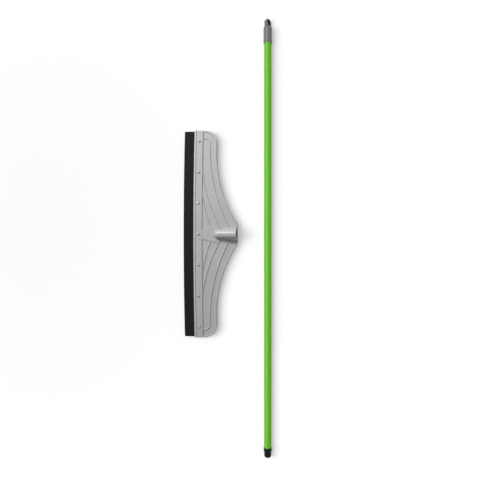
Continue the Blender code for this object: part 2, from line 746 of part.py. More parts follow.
def make_pole(finishes, middle):
    """Coated steel tube between its threaded insert and its cap, resting on the cap and the insert's neck."""
    cap_contact = CAP_MOUTH + CAP_MOUTH_EDGE
    lean = math.asin((CAP_RADIUS - NECK_RADIUS) / (cap_contact - NECK_END))
    height = CAP_RADIUS * math.cos(lean) - cap_contact * math.sin(lean)
    pole = empty("pole", (POLE_DISTANCE - middle[0], POLE_SHIFT - POLE_LENGTH / 2 - middle[1], height))
    pole.rotation_euler = (lean, 0, 0)
    add("pole_tube", sleeve(TUBE_RADIUS, TUBE_RADIUS - TUBE_WALL), finishes["steel"], pole)
    add("pole_coating", sleeve(POLE_RADIUS, POLE_RADIUS - COATING_WALL), finishes["coating"], pole)
    make_insert(pole, finishes["insert"])
    make_cap(pole, finishes["cap"])


def make_head(finishes, middle):
    """Moulded body, clamp bar and the two foam strips, riveted together."""
    head = empty("head", (-middle[0], -middle[1], 0))
    make_body(head, finishes["moulding"])
    make_clamp_bar(head, finishes["moulding"])
    make_foam("foam_lower", LOWER_FOAM_BOTTOM, head, finishes["foam"])
    make_foam("foam_upper", UPPER_FOAM_BOTTOM, head, finishes["foam"])
    make_row("rivet", rivet_mesh(), finishes["rivet"], head)
    make_row("washer", washer_mesh(), finishes["washer"], head)


def empty(name, location):
    made = bpy.data.objects.new(name, None)
    made.location = location
    bpy.context.scene.collection.objects.link(made)
    return made


def main():
    for old in list(bpy.data.objects):
        bpy.data.objects.remove(old, do_unlink=True)
    finishes = {
        "moulding": material("grey_moulding", (0.43, 0.44, 0.43), 0.45),
        "foam": material("black_foam_rubber", (0.018, 0.018, 0.018), 0.85),
        "rivet": material("rivet_aluminium", (0.45, 0.45, 0.45), 0.4, 0.6),
        "washer": material("washer_zinc", (0.5, 0.5, 0.52), 0.4, 1.0),
        "steel": material("tube_steel", (0.45, 0.45, 0.46), 0.45, 1.0),
        "coating": material("green_coating", (0.15, 0.53, 0.035), 0.4),
        "insert": material("black_insert", (0.014, 0.014, 0.014), 0.5),
        "cap": material("grey_cap", (0.19, 0.19, 0.19), 0.45),
    }
    make_head(finishes, FOOTPRINT_MIDDLE)
    make_pole(finishes, FOOTPRINT_MIDDLE)


main()
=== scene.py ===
"""Looks of a floor squeegee: moulded head with a double foam-rubber blade, and its screw-in pole beside it.

Laid out as an add-on and run as a script. Each operator dresses one piece or one set of like pieces of the
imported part, or makes the stage, and the panel lists them.

Metres, +Z up. Head coordinates: x from the front edge of the jaw at mid length towards the socket, y along
the blade from the socket's axis, z from the floor. Pole coordinates: z along the pole from the tip of its
screw to its hanging eye; along_pole lays them down in the frame.
"""

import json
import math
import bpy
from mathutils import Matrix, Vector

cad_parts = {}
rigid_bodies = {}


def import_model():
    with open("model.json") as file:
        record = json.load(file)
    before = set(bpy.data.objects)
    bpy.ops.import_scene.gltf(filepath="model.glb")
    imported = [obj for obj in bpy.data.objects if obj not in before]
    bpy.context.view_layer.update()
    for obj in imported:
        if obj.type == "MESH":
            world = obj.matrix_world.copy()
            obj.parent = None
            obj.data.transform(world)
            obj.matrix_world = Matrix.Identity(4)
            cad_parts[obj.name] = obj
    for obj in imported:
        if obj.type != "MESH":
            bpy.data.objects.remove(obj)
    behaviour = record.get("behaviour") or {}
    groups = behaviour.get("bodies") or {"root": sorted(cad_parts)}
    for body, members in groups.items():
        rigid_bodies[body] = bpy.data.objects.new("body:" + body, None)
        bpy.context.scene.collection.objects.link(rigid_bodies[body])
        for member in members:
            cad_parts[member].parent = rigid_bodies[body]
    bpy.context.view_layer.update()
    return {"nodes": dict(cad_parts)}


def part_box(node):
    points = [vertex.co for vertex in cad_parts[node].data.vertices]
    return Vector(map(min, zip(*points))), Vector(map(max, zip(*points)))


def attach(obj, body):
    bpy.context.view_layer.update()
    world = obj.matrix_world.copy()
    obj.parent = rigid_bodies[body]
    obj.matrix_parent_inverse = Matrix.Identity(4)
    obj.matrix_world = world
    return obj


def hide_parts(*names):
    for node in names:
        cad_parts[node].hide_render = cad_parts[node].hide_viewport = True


bl_info = {
    "name": "Floor squeegee",
    "version": (1, 0, 0),
    "blender": (4, 5, 0),
    "location": "View3D > Sidebar > Squeegee",
    "description": "Dresses a floor squeegee: moulded head, foam blade, rivets and screw-in pole",
    "category": "Object",
}

import bmesh
import bpy
from bpy.props import FloatProperty, FloatVectorProperty, PointerProperty
from bpy.types import Operator, Panel, PropertyGroup
from mathutils import Matrix, Vector, noise

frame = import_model()

FOAM_STRIPS = (("foam_lower", "lower_strip"), ("foam_upper", "upper_strip"))
POLE_PIECES = ("green_skin", "screw_plug", "eye_cap", "pole_tube")
RIVET_COUNT = 7

# Places and sizes read from the frame
BODY_LOW, BODY_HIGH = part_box("body")
CLAMP_LOW, CLAMP_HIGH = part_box("clamp_bar")
FOAM_LOW, FOAM_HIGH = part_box("foam_upper")
RIVET_LOW, RIVET_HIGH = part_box("rivet_4")
WASHER_LOW, WASHER_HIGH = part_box("washer_4")
COATING_LOW, COATING_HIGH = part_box("pole_coating")
INSERT_LOW, INSERT_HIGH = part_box("threaded_insert")
CAP_LOW, CAP_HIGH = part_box("hanger_cap")
RIVET_BOXES = [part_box(f"rivet_{n}") for n in range(1, RIVET_COUNT + 1)]
RIVET_PLACES = [Vector(((low.x + high.x) / 2, (low.y + high.y) / 2, 0)) for low, high in RIVET_BOXES]

HEAD_PLACE = Vector((BODY_LOW.x, (BODY_LOW.y + BODY_HIGH.y) / 2, 0))
HALF_LENGTH = (BODY_HIGH.y - BODY_LOW.y) / 2
TIP_DEPTH = BODY_HIGH.x - BODY_LOW.x

# Fits and seams
GAP = 0.0003  # between faces that touch on the real thing
SEAM = 0.0006  # how far one stretch of a moulding reaches into the next
SUNK = 0.0003  # of a fillet's foot under the face that it flows into
FOOT_REACH = 1.5  # how far out a fillet's foot ends, in radii of the fillet
LIFT = 0.0003  # of the jaw's back wall over the skirt's foot
MITRE_LIMIT = 0.5  # keeps a sharp corner of a shifted line from running far out

# Roundings of lesser edges
HAIR = 0.0001
FINE = 0.0002
SLIGHT = 0.0003
SMALL = 0.0004
SOFT = 0.0005

# Head, plan view
BOW = 0.0038
JAW_DEPTH = 0.025
WING_DEPTH = 0.067
WING_CORNER_RADIUS = 0.037
TIP_HALF_WIDTH = 0.0293
TIP_CORNER_REACH = 0.009
SWEEP_RADIUS = 0.385

# Head, levels and walls
FOAM_THICKNESS = FOAM_HIGH.z - FOAM_LOW.z
JAW_BOTTOM = FOAM_HIGH.z + GAP
JAW_WALL = 0.0035
JAW_TOP = JAW_BOTTOM + JAW_WALL
WEB_DROP = 0.0028
WEB_TOP = JAW_TOP - WEB_DROP
WEB_WALL = 0.0028
WEB_BOTTOM = WEB_TOP - WEB_WALL
SKIRT_WALL = 0.0030
SKIRT_DRAFT = 0.0014  # the outer wall leans in by this much from the floor to the rim
JAW_BACK_WALL = 0.0025
JAW_END_ROUND = 0.0008
RIM_WIDTH = 0.0070
RIM_CREST = 0.0060
RIM_HEIGHT = 0.0016
RIM_TOP = WEB_TOP + RIM_HEIGHT
LIP_CREST = 0.0043
LIP_HEIGHT = 0.0013
LIP_FRONT_DROP = 0.0007
GROOVE_PLACE = 0.0068
GROOVE_WIDTH = 0.0004
GROOVE_DEPTH = 0.0011

# Surface ribs
RIB_LEAN = 0.42  # a rib's flank leans in by this share of its height
PARTING_RIB_INSET = 0.0004  # how far inside the jaw a parting rib's side starts
OUTER_RIB_INSET = 0.022
OUTER_RIB_LEAD = 0.017
OUTER_RIB_RADIUS = 0.512
OUTER_RIB_HOOK_RADIUS = 0.013
OUTER_RIB_HOOK_INSET = 0.025
MIDDLE_RIB_LEAD = -0.015
MIDDLE_RIB_RADIUS = 0.416
INNER_RIB_LEAD = -0.082
INNER_RIB_RADIUS = 0.367

# Raised pad
PAD_HEIGHT = 0.0022
PAD_FRONT_HALF_WIDTH = 0.0145
PAD_BACK_HALF_WIDTH = 0.0275
PAD_REACH = 0.0133
PAD_TAPER = 0.012
PAD_CORNER_RADIUS = 0.0025
PAD_LEAN = 0.0003
PAD_FLAT = 0.0015  # from its edge to where its flat top starts

# Stiffening under the web
UNDER_RIB_WALL = 0.0022
UNDER_RIB_LIFT = 0.0040
UNDER_RIB_TAPER = 0.8  # its foot's thickness as a share of its root's
CROSS_RIB_COUNT = 6
CROSS_RIB_END_INSET = 0.034
KEEL_CLEARANCE = 0.0037

# Socket
SOCKET_TILT = math.radians(12)
SOCKET_RADIUS = 0.01325
SOCKET_LENGTH = 0.0686
SOCKET_NOSE_LENGTH = 0.0125
SOCKET_MOUTH_SETBACK = 0.0037
SOCKET_MOUTH_ROUND = 0.0006
BORE_RADIUS = 0.0109
BORE_DEPTH = 0.044
BORE_LEAD_IN = 0.0035  # from the bore's bottom to where its thread has its full depth
BORE_THREAD_START = 0.0012  # behind the mouth
BORE_THREAD_SHARE = 0.75  # of the depth of the pole's thread
BORE_CHAMFER_DEPTH = 0.0006
BORE_CHAMFER_INNER = 0.0009
BORE_CHAMFER_OUTER = 0.0016
FAIRING_HALF_WIDTH = 0.0205
FAIRING_LEAN = 0.0030  # the flank leans in by this much from the web to its ledge
FAIRING_SETBACK = 0.0022  # of its end behind the mouth
FAIRING_NOSE_TUCK = 0.0010
FAIRING_OVERLAP = 0.0040
FAIRING_FOOT_FLARE = 0.0016
FAIRING_FOOT_RISE = 0.0002
FAIRING_FILLET = 0.0015
FAIRING_LEDGE_ROUND = 0.0008
FAIRING_LEDGE = 0.0020

# Lower jaw
BAR_END_ROUND = 0.0004
BAR_CHAMFER_DEPTH = 0.0020
BAR_CHAMFER_HEIGHT = 0.0010
BAR_FRONT_ROUND = 0.0006
BAR_FOOT_ROUND = 0.0008

# Blade
FOAM_REACH = BODY_LOW.x - FOAM_LOW.x
FOAM_HALF_LENGTH = (FOAM_HIGH.y - FOAM_LOW.y) / 2
FOAM_CORNER_RADIUS = 0.0035
FOAM_GRIP = 0.002  # a row of edges this far inside the jaw
FOAM_BENDS = 14  # of its cut edge, in a metre
FOAM_NOISE_STEP = 7.3  # between the two strips' wavy edges

# Rivets
RIVET_HEAD_RADIUS = (RIVET_HIGH.x - RIVET_LOW.x) / 2
RIVET_RIM = 0.0004
RIVET_RIM_CHAMFER = 0.00016
RIVET_SHANK_RADIUS = 0.0020
RIVET_HOLE_RADIUS = RIVET_SHANK_RADIUS + GAP
RIVET_TAIL_RADIUS = 0.0033
RIVET_TAIL_HEIGHT = 0.0008
RIVET_ROLL_INSET = 0.0003
RIVET_DIMPLE_RADIUS = 0.0012
RIVET_DIMPLE_MIDDLE = 0.0005  # its depth on the axis
RIVET_DIMPLE_EDGE = 0.0004  # its depth at its radius
WASHER_RADIUS = (WASHER_HIGH.x - WASHER_LOW.x) / 2
WASHER_LOWER_ROUND = 0.00025
WASHER_UPPER_ROUND = 0.00012
POCKET_CLEARANCE = 0.0006
POCKET_RADIUS = WASHER_RADIUS + POCKET_CLEARANCE
POCKET_TOP = WASHER_HIGH.z + GAP

# Pole
POLE_RADIUS = (COATING_HIGH.x - COATING_LOW.x) / 2
POLE_LENGTH = CAP_HIGH.y - INSERT_LOW.y
COATING_WALL = 0.0005
COATING_LENGTH = COATING_HIGH.y - COATING_LOW.y
SHANK_LENGTH = 0.0175
SHANK_RADIUS = 0.0102
SHANK_TIP_ROUND = 0.0040
SHANK_PLAIN = 0.0004  # the plain stretch between the thread's end and the neck
THREAD_CREST = 0.55  # the larger it is, the wider are the thread's crests
THREAD_TIP_SHARE = 0.8  # of the thread's depth, on the shank's tip
THREAD_RUN_IN = 0.0020
THREAD_RUN_OUT = 0.0022
NECK_LENGTH = 0.0110
NECK_RADIUS = (INSERT_HIGH.x - INSERT_LOW.x) / 2
NECK_END = SHANK_LENGTH + NECK_LENGTH
NECK_ROUND = 0.0009
NECK_ROOT = 0.0004  # of the neck's flat front, inside the shank
PLUG_RADIUS = 0.0092
PLUG_END = INSERT_HIGH.y - INSERT_LOW.y
PLUG_ROUND = 0.0006
CAP_RADIUS = (CAP_HIGH.x - CAP_LOW.x) / 2
CAP_BORE_RADIUS = POLE_RADIUS + GAP
CAP_MOUTH = POLE_LENGTH - (CAP_HIGH.y - CAP_LOW.y)
CROWN_THICKNESS = 0.0030
EYE_LENGTH = 0.0245
EYE_WIDTH = 0.0205
EYE_THICKNESS = 0.0090
EYE_SIDE_WALL = 0.0040
EYE_TOP_WALL = 0.0042
EYE_FOOT_WALL = 0.0053
EYE_ROOT = 0.0015  # of the tongue, inside the crown
EYE_CUT_REACH = 1.4  # of the eye's cutter, in half thicknesses of the tongue
EYE_TURN = math.radians(46)
EYE_SHADE_MARGIN = 0.0009  # how far the black painted shade inside the eye reaches out over its rounded rim
EYE_SHADE_LEAN = 0.97  # a face that looks straighter out of the tongue's flat side than this stays grey, without the painted shade

# Places worked out from these
SWEEP_RISE = TIP_DEPTH - WING_DEPTH
SWEEP_START = TIP_HALF_WIDTH + math.sqrt(2 * SWEEP_RADIUS * SWEEP_RISE - SWEEP_RISE ** 2)
CROSS_RIB_PITCH = (HALF_LENGTH - CROSS_RIB_END_INSET) / CROSS_RIB_COUNT
SOCKET_AXIS = Vector((math.cos(SOCKET_TILT), 0, math.sin(SOCKET_TILT)))
SOCKET_UP = Vector((-math.sin(SOCKET_TILT), 0, math.cos(SOCKET_TILT)))
SOCKET_MOUTH_Z = BODY_HIGH.z - SOCKET_RADIUS * math.cos(SOCKET_TILT)
SOCKET_MOUTH = Vector((TIP_DEPTH - SOCKET_MOUTH_SETBACK, 0, SOCKET_MOUTH_Z))
NOSE_TIP = SOCKET_MOUTH - SOCKET_AXIS * SOCKET_LENGTH
FAIRING_LENGTH = SOCKET_LENGTH - SOCKET_NOSE_LENGTH + FAIRING_OVERLAP - FAIRING_SETBACK
FAIRING_NOSE_HALF_WIDTH = SOCKET_RADIUS - FAIRING_NOSE_TUCK
KEEL_OFFSET = SOCKET_RADIUS + KEEL_CLEARANCE
CAP_SHOULDER = POLE_LENGTH - EYE_LENGTH
EYE_HOLE_RADIUS = EYE_WIDTH / 2 - EYE_SIDE_WALL
EYE_HOLE_LOW = CAP_SHOULDER + EYE_FOOT_WALL + EYE_HOLE_RADIUS
EYE_HOLE_HIGH = POLE_LENGTH - EYE_TOP_WALL - EYE_HOLE_RADIUS

# The pole lies on its neck and on the mouth of its cap
POLE_LEAN = math.asin((CAP_RADIUS - NECK_RADIUS) / (CAP_MOUTH - NECK_END))
POLE_RISE = CAP_RADIUS * math.cos(POLE_LEAN) - CAP_MOUTH * math.sin(POLE_LEAN)
POLE_PLACE = Vector(((CAP_LOW.x + CAP_HIGH.x) / 2, INSERT_LOW.y, POLE_RISE))
POLE_LAY = Matrix.Translation(POLE_PLACE) @ Matrix.Rotation(POLE_LEAN - math.pi / 2, 4, "X")

# Light
FLOOR_LIGHT_PLACE = (-1.17, 0.08, 1.45)
FLOOR_LIGHT_SIZE = (1.0, 1.5)
HEAD_LIGHT_PLACE = (-0.76, 0.90, 1.02)
HEAD_LIGHT_SIZE = (0.5, 0.5)
POLE_LIGHT_PLACE = (-0.80, 0.12, 1.35)
POLE_LIGHT_SIZE = (3.2, 0.35)
SKY_SIDE = (-0.6, 0.8, 0.0)  # towards which the sky gets brighter
SKY_SLOPE = 0.75  # by this share of its strength
FLOOR_RADIUS = 14.0
FLOOR_PAINT = 0.8
FLOOR_WHITE = 1.03  # of the lit floor, to the camera
FLOOR_GLOW = 0.30  # the part of it that no shadow takes away
SHADOW_LIFT = 0.04  # added to the glow, which lightens the shadows
CLIP_START = 0.01
CLIP_END = 60


class SqueegeeHeadSettings(PropertyGroup):
    """Sizes of the head's fine surface."""

    edge_round: FloatProperty(
        name="Edge rounding", description="Radius of the moulding's outer edges",
        default=0.0009, min=0.0002, max=0.0012, unit="LENGTH")
    fillet: FloatProperty(
        name="Fillet", description="Radius where ribs, rim and pad flow into the web",
        default=0.0006, min=0.0002, max=0.0009, unit="LENGTH")
    rib_width: FloatProperty(
        name="Rib width", description="Width of a surface rib at its foot",
        default=0.0034, min=0.0015, max=0.0040, unit="LENGTH")
    rib_height: FloatProperty(
        name="Rib height", description="Height of a surface rib over the web",
        default=0.0021, min=0.0004, max=0.0024, unit="LENGTH")
    foam_edge: FloatProperty(
        name="Foam edge", description="Softness of the foam strips' long edges",
        default=0.0008, min=0.0003, max=0.0020, unit="LENGTH")
    foam_wave: FloatProperty(
        name="Foam waviness", description="How far the cut foam strays from straight",
        default=0.00025, min=0.0, max=0.0005, unit="LENGTH")


class SqueegeePoleSettings(PropertyGroup):
    """Sizes of the pole's fine surface."""

    thread_pitch: FloatProperty(
        name="Thread pitch", description="Rise of the screw in one turn, on the pole and in the socket",
        default=0.0050, min=0.0030, max=0.0080, unit="LENGTH")
    thread_depth: FloatProperty(
        name="Thread depth", description="From the thread's crest to its root",
        default=0.0012, min=0.0004, max=0.0014, unit="LENGTH")
    cap_round: FloatProperty(
        name="Cap rounding", description="Radius of the hanger cap's shoulder",
        default=0.0022, min=0.0005, max=0.0026, unit="LENGTH")
    eye_round: FloatProperty(
        name="Eye rounding", description="Radius of the hanging eye's edges",
        default=0.0008, min=0.0003, max=0.0018, unit="LENGTH")


class SqueegeeFinishSettings(PropertyGroup):
    """Colours of the squeegee's materials."""

    moulding: FloatVectorProperty(
        name="Moulding", description="Light grey polypropylene of the head",
        default=(0.43, 0.44, 0.43), min=0.0, max=1.0, subtype="COLOR")
    foam: FloatVectorProperty(
        name="Foam", description="Black foam rubber of the blade",
        default=(0.011, 0.011, 0.011), min=0.0, max=1.0, subtype="COLOR")
    rivet: FloatVectorProperty(
        name="Rivets", description="Aluminium of the rivets",
        default=(0.33, 0.33, 0.33), min=0.0, max=1.0, subtype="COLOR")
    coating: FloatVectorProperty(
        name="Pole coating", description="Bright green plastic skin of the pole",
        default=(0.155, 0.55, 0.018), min=0.0, max=1.0, subtype="COLOR")
    cap: FloatVectorProperty(
        name="Hanger cap", description="Grey plastic of the hanger cap",
        default=(0.145, 0.148, 0.148), min=0.0, max=1.0, subtype="COLOR")
    # this black is also painted inside the eye's hole as shade
    insert: FloatVectorProperty(
        name="Threaded insert", description="Black plastic of the pole's screw and of the eye's lining",
        default=(0.007, 0.007, 0.007), min=0.0, max=1.0, subtype="COLOR")


class SqueegeeStageSettings(PropertyGroup):
    """Camera and light."""

    camera_x: FloatProperty(
        name="Camera X", description="Place of the camera across the pole",
        default=0.0357, unit="LENGTH")
    camera_y: FloatProperty(
        name="Camera Y", description="Place of the camera along the pole",
        default=-0.0056, unit="LENGTH")
    camera_height: FloatProperty(
        name="Camera height", description="Height of the camera over the floor",
        default=1.05, min=0.3, unit="LENGTH")
    view_width: FloatProperty(
        name="View width", description="Width of the floor that the camera sees",
        default=1.433, min=0.2, unit="LENGTH")
    floor_power: FloatProperty(
        name="Floor light", description="Power of the large lamp that lights the floor, in watts",
        default=27.0, min=0.0)
    head_power: FloatProperty(
        name="Head light", description="Power of the lamp that lights the head, in watts",
        default=21.2, min=0.0)
    pole_power: FloatProperty(
        name="Pole light", description="Power of the long lamp that lights the pole, in watts",
        default=26.0, min=0.0)
    sky_strength: FloatProperty(
        name="Sky light", description="Strength of the light from all round",
        default=0.30, min=0.0)


def spaced(start, end, steps):
    return [start + (end - start) * i / steps for i in range(steps + 1)]


def quarter(steps):
    """Angles of a quarter turn."""
    return spaced(0, math.pi / 2, steps)


def arc(centre, radius, start_deg, end_deg, steps):
    turns = [math.radians(a) for a in spaced(start_deg, end_deg, steps)]
    return [(centre[0] + radius * math.cos(a), centre[1] + radius * math.sin(a)) for a in turns]


def rounded(corners, steps=5, closed=True):
    """A line through corners of x, y and radius, each of them rounded by an arc of its radius."""
    points = []
    for i, (x, y, radius) in enumerate(corners):
        here = Vector((x, y))
        at_end = not closed and i in (0, len(corners) - 1)
        if radius == 0 or at_end:
            points.append((x, y))
            continue
        back = (Vector(corners[i - 1][:2]) - here).normalized()
        on = (Vector(corners[(i + 1) % len(corners)][:2]) - here).normalized()
        half = back.angle(on) / 2
        centre = here + (back + on).normalized() * radius / math.sin(half)
        first = here + back * radius / math.tan(half) - centre
        last = here + on * radius / math.tan(half) - centre
        for t in spaced(0, 1, steps):
            way = first.normalized().slerp(last.normalized(), t)
            points.append(tuple(centre + way * radius))
    return points


def shifted(points, distance, closed=False):
    """The line moved sideways by distance, to the right of its direction of travel."""
    line = []
    last = len(points) - 1
    for i, point in enumerate(points):
        here = Vector(point)
        previous = points[i - 1] if closed or i > 0 else point
        following = points[(i + 1) % len(points)] if closed or i < last else point
        before = (here - Vector(previous)).normalized()
        after = (Vector(following) - here).normalized()
        way = (before + after).normalized()
        reach = distance / max(way.dot(after if after.length else before), MITRE_LIMIT)
        line.append((here.x + way.y * reach, here.y - way.x * reach))
    return line


def level(points, z):
    return [(x, y, z) for x, y in points]


def bow(y):
    """How far the section of the head at y lies behind the one at mid length."""
    return BOW * (y / HALF_LENGTH) ** 2


def bowed(points):
    return [(x + bow(y), y) for x, y in points]


def mirrored(points):
    """A half line from +y to the middle, carried on to its mirror image."""
    return points + [(x, -y) for x, y in reversed(points)]


def both_sides(line):
    """A line on the +y side and its mirror image, each bowed with the head."""
    return [bowed(line), bowed([(x, -y) for x, y in line])]


def swept_x(y, offset, start, radius):
    """x at y of a line that is straight at offset outside start and curves towards the tip inside it."""
    return offset + radius - math.sqrt(radius ** 2 - max(start - y, 0) ** 2)


def swept_line(offset, start, radius, first, last, steps):
    return [(swept_x(y, offset, start, radius), y) for y in spaced(first, last, steps)]


def rounded_corner(before, corner, after, steps):
    """Points of a curve that leaves before towards the corner and arrives at after from it."""
    points = []
    for t in spaced(0, 1, steps):
        points.append(tuple((1 - t) ** 2 * b + 2 * t * (1 - t) * c + t * t * a
                            for b, c, a in zip(before, corner, after)))
    return points


def edge_half():
    """Trailing edge of the head from its front corner at +y to the tip, before the bow."""
    wing_centre = (WING_DEPTH - WING_CORNER_RADIUS, HALF_LENGTH - WING_CORNER_RADIUS)
    tip_corner = (TIP_DEPTH, TIP_HALF_WIDTH)
    points = [(0, HALF_LENGTH), (JAW_DEPTH / 2, HALF_LENGTH), (JAW_DEPTH, HALF_LENGTH)]
    points += arc(wing_centre, WING_CORNER_RADIUS, 90, 0, 28)
    points += swept_line(WING_DEPTH, SWEEP_START, SWEEP_RADIUS, wing_centre[1],
                         TIP_HALF_WIDTH + TIP_CORNER_REACH, 64)[1:]
    points += rounded_corner(points[-1], tip_corner, (TIP_DEPTH, TIP_HALF_WIDTH - TIP_CORNER_REACH), 10)[1:]
    return points


def edge_x(y):
    """Depth of the head at y, before the bow."""
    into_corner = max(abs(y) - HALF_LENGTH + WING_CORNER_RADIUS, 0)
    rounding = WING_CORNER_RADIUS - math.sqrt(WING_CORNER_RADIUS ** 2 - into_corner ** 2)
    return min(swept_x(abs(y), WING_DEPTH, SWEEP_START, SWEEP_RADIUS), TIP_DEPTH) - rounding


def loft(loops):
    """A closed mesh through loops of as many points each, with flat ends."""
    mesh = bmesh.new()
    rings = [[mesh.verts.new(point) for point in loop] for loop in loops]
    for lower, upper in zip(rings, rings[1:]):
        for i in range(len(lower)):
            j = (i + 1) % len(lower)
            mesh.faces.new((lower[i], lower[j], upper[j], upper[i]))
    mesh.faces.new(rings[0])
    mesh.faces.new(rings[-1])
    bmesh.ops.recalc_face_normals(mesh, faces=mesh.faces)
    return mesh


def prism(outline, bottom, top):
    return loft([level(outline, bottom), level(outline, top)])


def swept(line, section):
    """A section carried along a line: each of its points a distance to the line's right, and a height."""
    rails = {distance: shifted(line, distance) for distance, _ in section}
    return loft([[(*rails[distance][i], z) for distance, z in section] for i in range(len(line))])


def turned(profile, steps):
    """A profile of radius and height spun about z: solid if it starts on the axis, else a ring."""
    mesh = bmesh.new()
    points = [mesh.verts.new((r, 0, z)) for r, z in profile]
    edges = [mesh.edges.new(pair) for pair in zip(points, points[1:])]
    if profile[0][0] > 0:
        edges.append(mesh.edges.new((points[-1], points[0])))
    bmesh.ops.spin(mesh, geom=points + edges, cent=(0, 0, 0), axis=(0, 0, 1),
                   angle=math.tau, steps=steps, use_merge=True)
    bmesh.ops.remove_doubles(mesh, verts=mesh.verts, dist=1e-6)
    bmesh.ops.recalc_face_normals(mesh, faces=mesh.faces)
    return mesh


def rod(radius, bottom, top):
    return turned([(0, bottom), (radius, bottom), (radius, top), (0, top)], 32)


def screw(profile, depth, pitch, steps):
    """A rod whose radius follows a profile of (z, radius, share of the thread's depth), with a right-hand
    helical groove of that depth in its side."""
    rings = []
    for z, radius, share in profile:
        ring = []
        for i in range(steps):
            phase = (z / pitch - i / steps) % 1
            groove = min(max(1 - math.cos(math.tau * phase) - THREAD_CREST, 0), 1)
            r = radius - depth * share * groove
            turn = math.tau * i / steps
            ring.append((r * math.cos(turn), r * math.sin(turn), z))
        rings.append(ring)
    return loft(rings)


def merged(meshes):
    """Several separate shells in one mesh."""
    whole = bmesh.new()
    for mesh in meshes:
        data = bpy.data.meshes.new("shell")
        mesh.to_mesh(data)
        mesh.free()
        whole.from_mesh(data)
        bpy.data.meshes.remove(data)
    return whole


def moved(mesh, matrix):
    bmesh.ops.transform(mesh, matrix=matrix, verts=mesh.verts)
    return mesh


def along_pole(mesh):
    """Lays a shape turned about z along the pole, in the frame."""
    return moved(mesh, POLE_LAY)


def along_socket(mesh):
    """Puts a shape modelled inwards from a mouth at z = 0 into the socket's place."""
    turn = Vector((0, 0, 1)).rotation_difference(SOCKET_AXIS).to_matrix().to_4x4()
    return moved(mesh, Matrix.Translation(SOCKET_MOUTH) @ turn)


def piece(name, mesh, place=Vector((0, 0, 0))):
    """A named object of a bmesh, at a place in the frame."""
    data = bpy.data.meshes.new(name)
    mesh.to_mesh(data)
    mesh.free()
    made = bpy.data.objects.new(name, data)
    made.location = place
    bpy.context.scene.collection.objects.link(made)
    return made


def combine(target, mesh, name, operation):
    """Joins a mesh to the target, or cuts it out, by a Boolean modifier on a hidden guide."""
    guide = piece(name, mesh, target.location)
    guide.hide_render = True
    step = target.modifiers.new(name, "BOOLEAN")
    step.operation = operation
    step.solver = "EXACT"
    step.object = guide


def joined(target, mesh, name):
    combine(target, mesh, name, "UNION")


def cut(target, mesh, name):
    combine(target, mesh, name, "DIFFERENCE")


def settled(target):
    """Fixes a piece's modifiers into its mesh, and removes their guides."""
    guides = [step.object for step in target.modifiers if step.type == "BOOLEAN"]
    graph = bpy.context.evaluated_depsgraph_get()
    data = bpy.data.meshes.new_from_object(target.evaluated_get(graph))
    target.modifiers.clear()
    plain = target.data
    target.data = data
    bpy.data.meshes.remove(plain)
    data.name = target.name
    for guide in guides:
        bpy.data.objects.remove(guide)


def smooth(made, sharp_deg):
    """Smooth shading that keeps flats flat between their rounded edges."""
    made.data.shade_smooth()
    made.data.set_sharp_from_angle(angle=math.radians(sharp_deg))
    flats = made.modifiers.new("flats", "WEIGHTED_NORMAL")
    flats.weight = 60
    flats.keep_sharp = True
    settled(made)


def dress(made, body, node, finish, sharp_deg=38):
    """Settles and smooths a piece, gives it its finish and puts it in its node's place."""
    settled(made)
    smooth(made, sharp_deg)
    made.data.materials.clear()
    made.data.materials.append(finish)
    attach(made, body)
    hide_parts(node)


class Nodes:
    """A shader's node tree under construction."""

    def __init__(self, tree):
        self.tree = tree

    def feed(self, value, socket):
        """Links an output to a socket, or writes a plain value on it."""
        if isinstance(value, bpy.types.NodeSocket):
            self.tree.links.new(value, socket)
        else:
            socket.default_value = value

    def node(self, kind, values=()):
        """A new node, with the sockets that the values name by number or by word fed from them."""
        made = self.tree.nodes.new("ShaderNode" + kind)
        for key, value in dict(values).items():
            self.feed(value, made.inputs[key])
        return made

    def ranged(self, value, low, high, to_low, to_high):
        return self.node("MapRange", {"Value": value, "From Min": low, "From Max": high,
                                      "To Min": to_low, "To Max": to_high}).outputs["Result"]

    def math(self, kind, first, second):
        made = self.node("Math", {0: first, 1: second})
        made.operation = kind
        return made.outputs["Value"]

    def vector(self, kind, first, second):
        made = self.node("VectorMath", {0: first, 1: second})
        made.operation = kind
        return made.outputs["Vector" if kind == "SUBTRACT" else "Value"]

    def seen(self, *others):
        """1 on rays from the camera and on the other kinds of ray that are named, else 0."""
        path = self.node("LightPath").outputs
        found = path["Is Camera Ray"]
        for kind in others:
            found = self.math("MAXIMUM", found, path[kind])
        return found


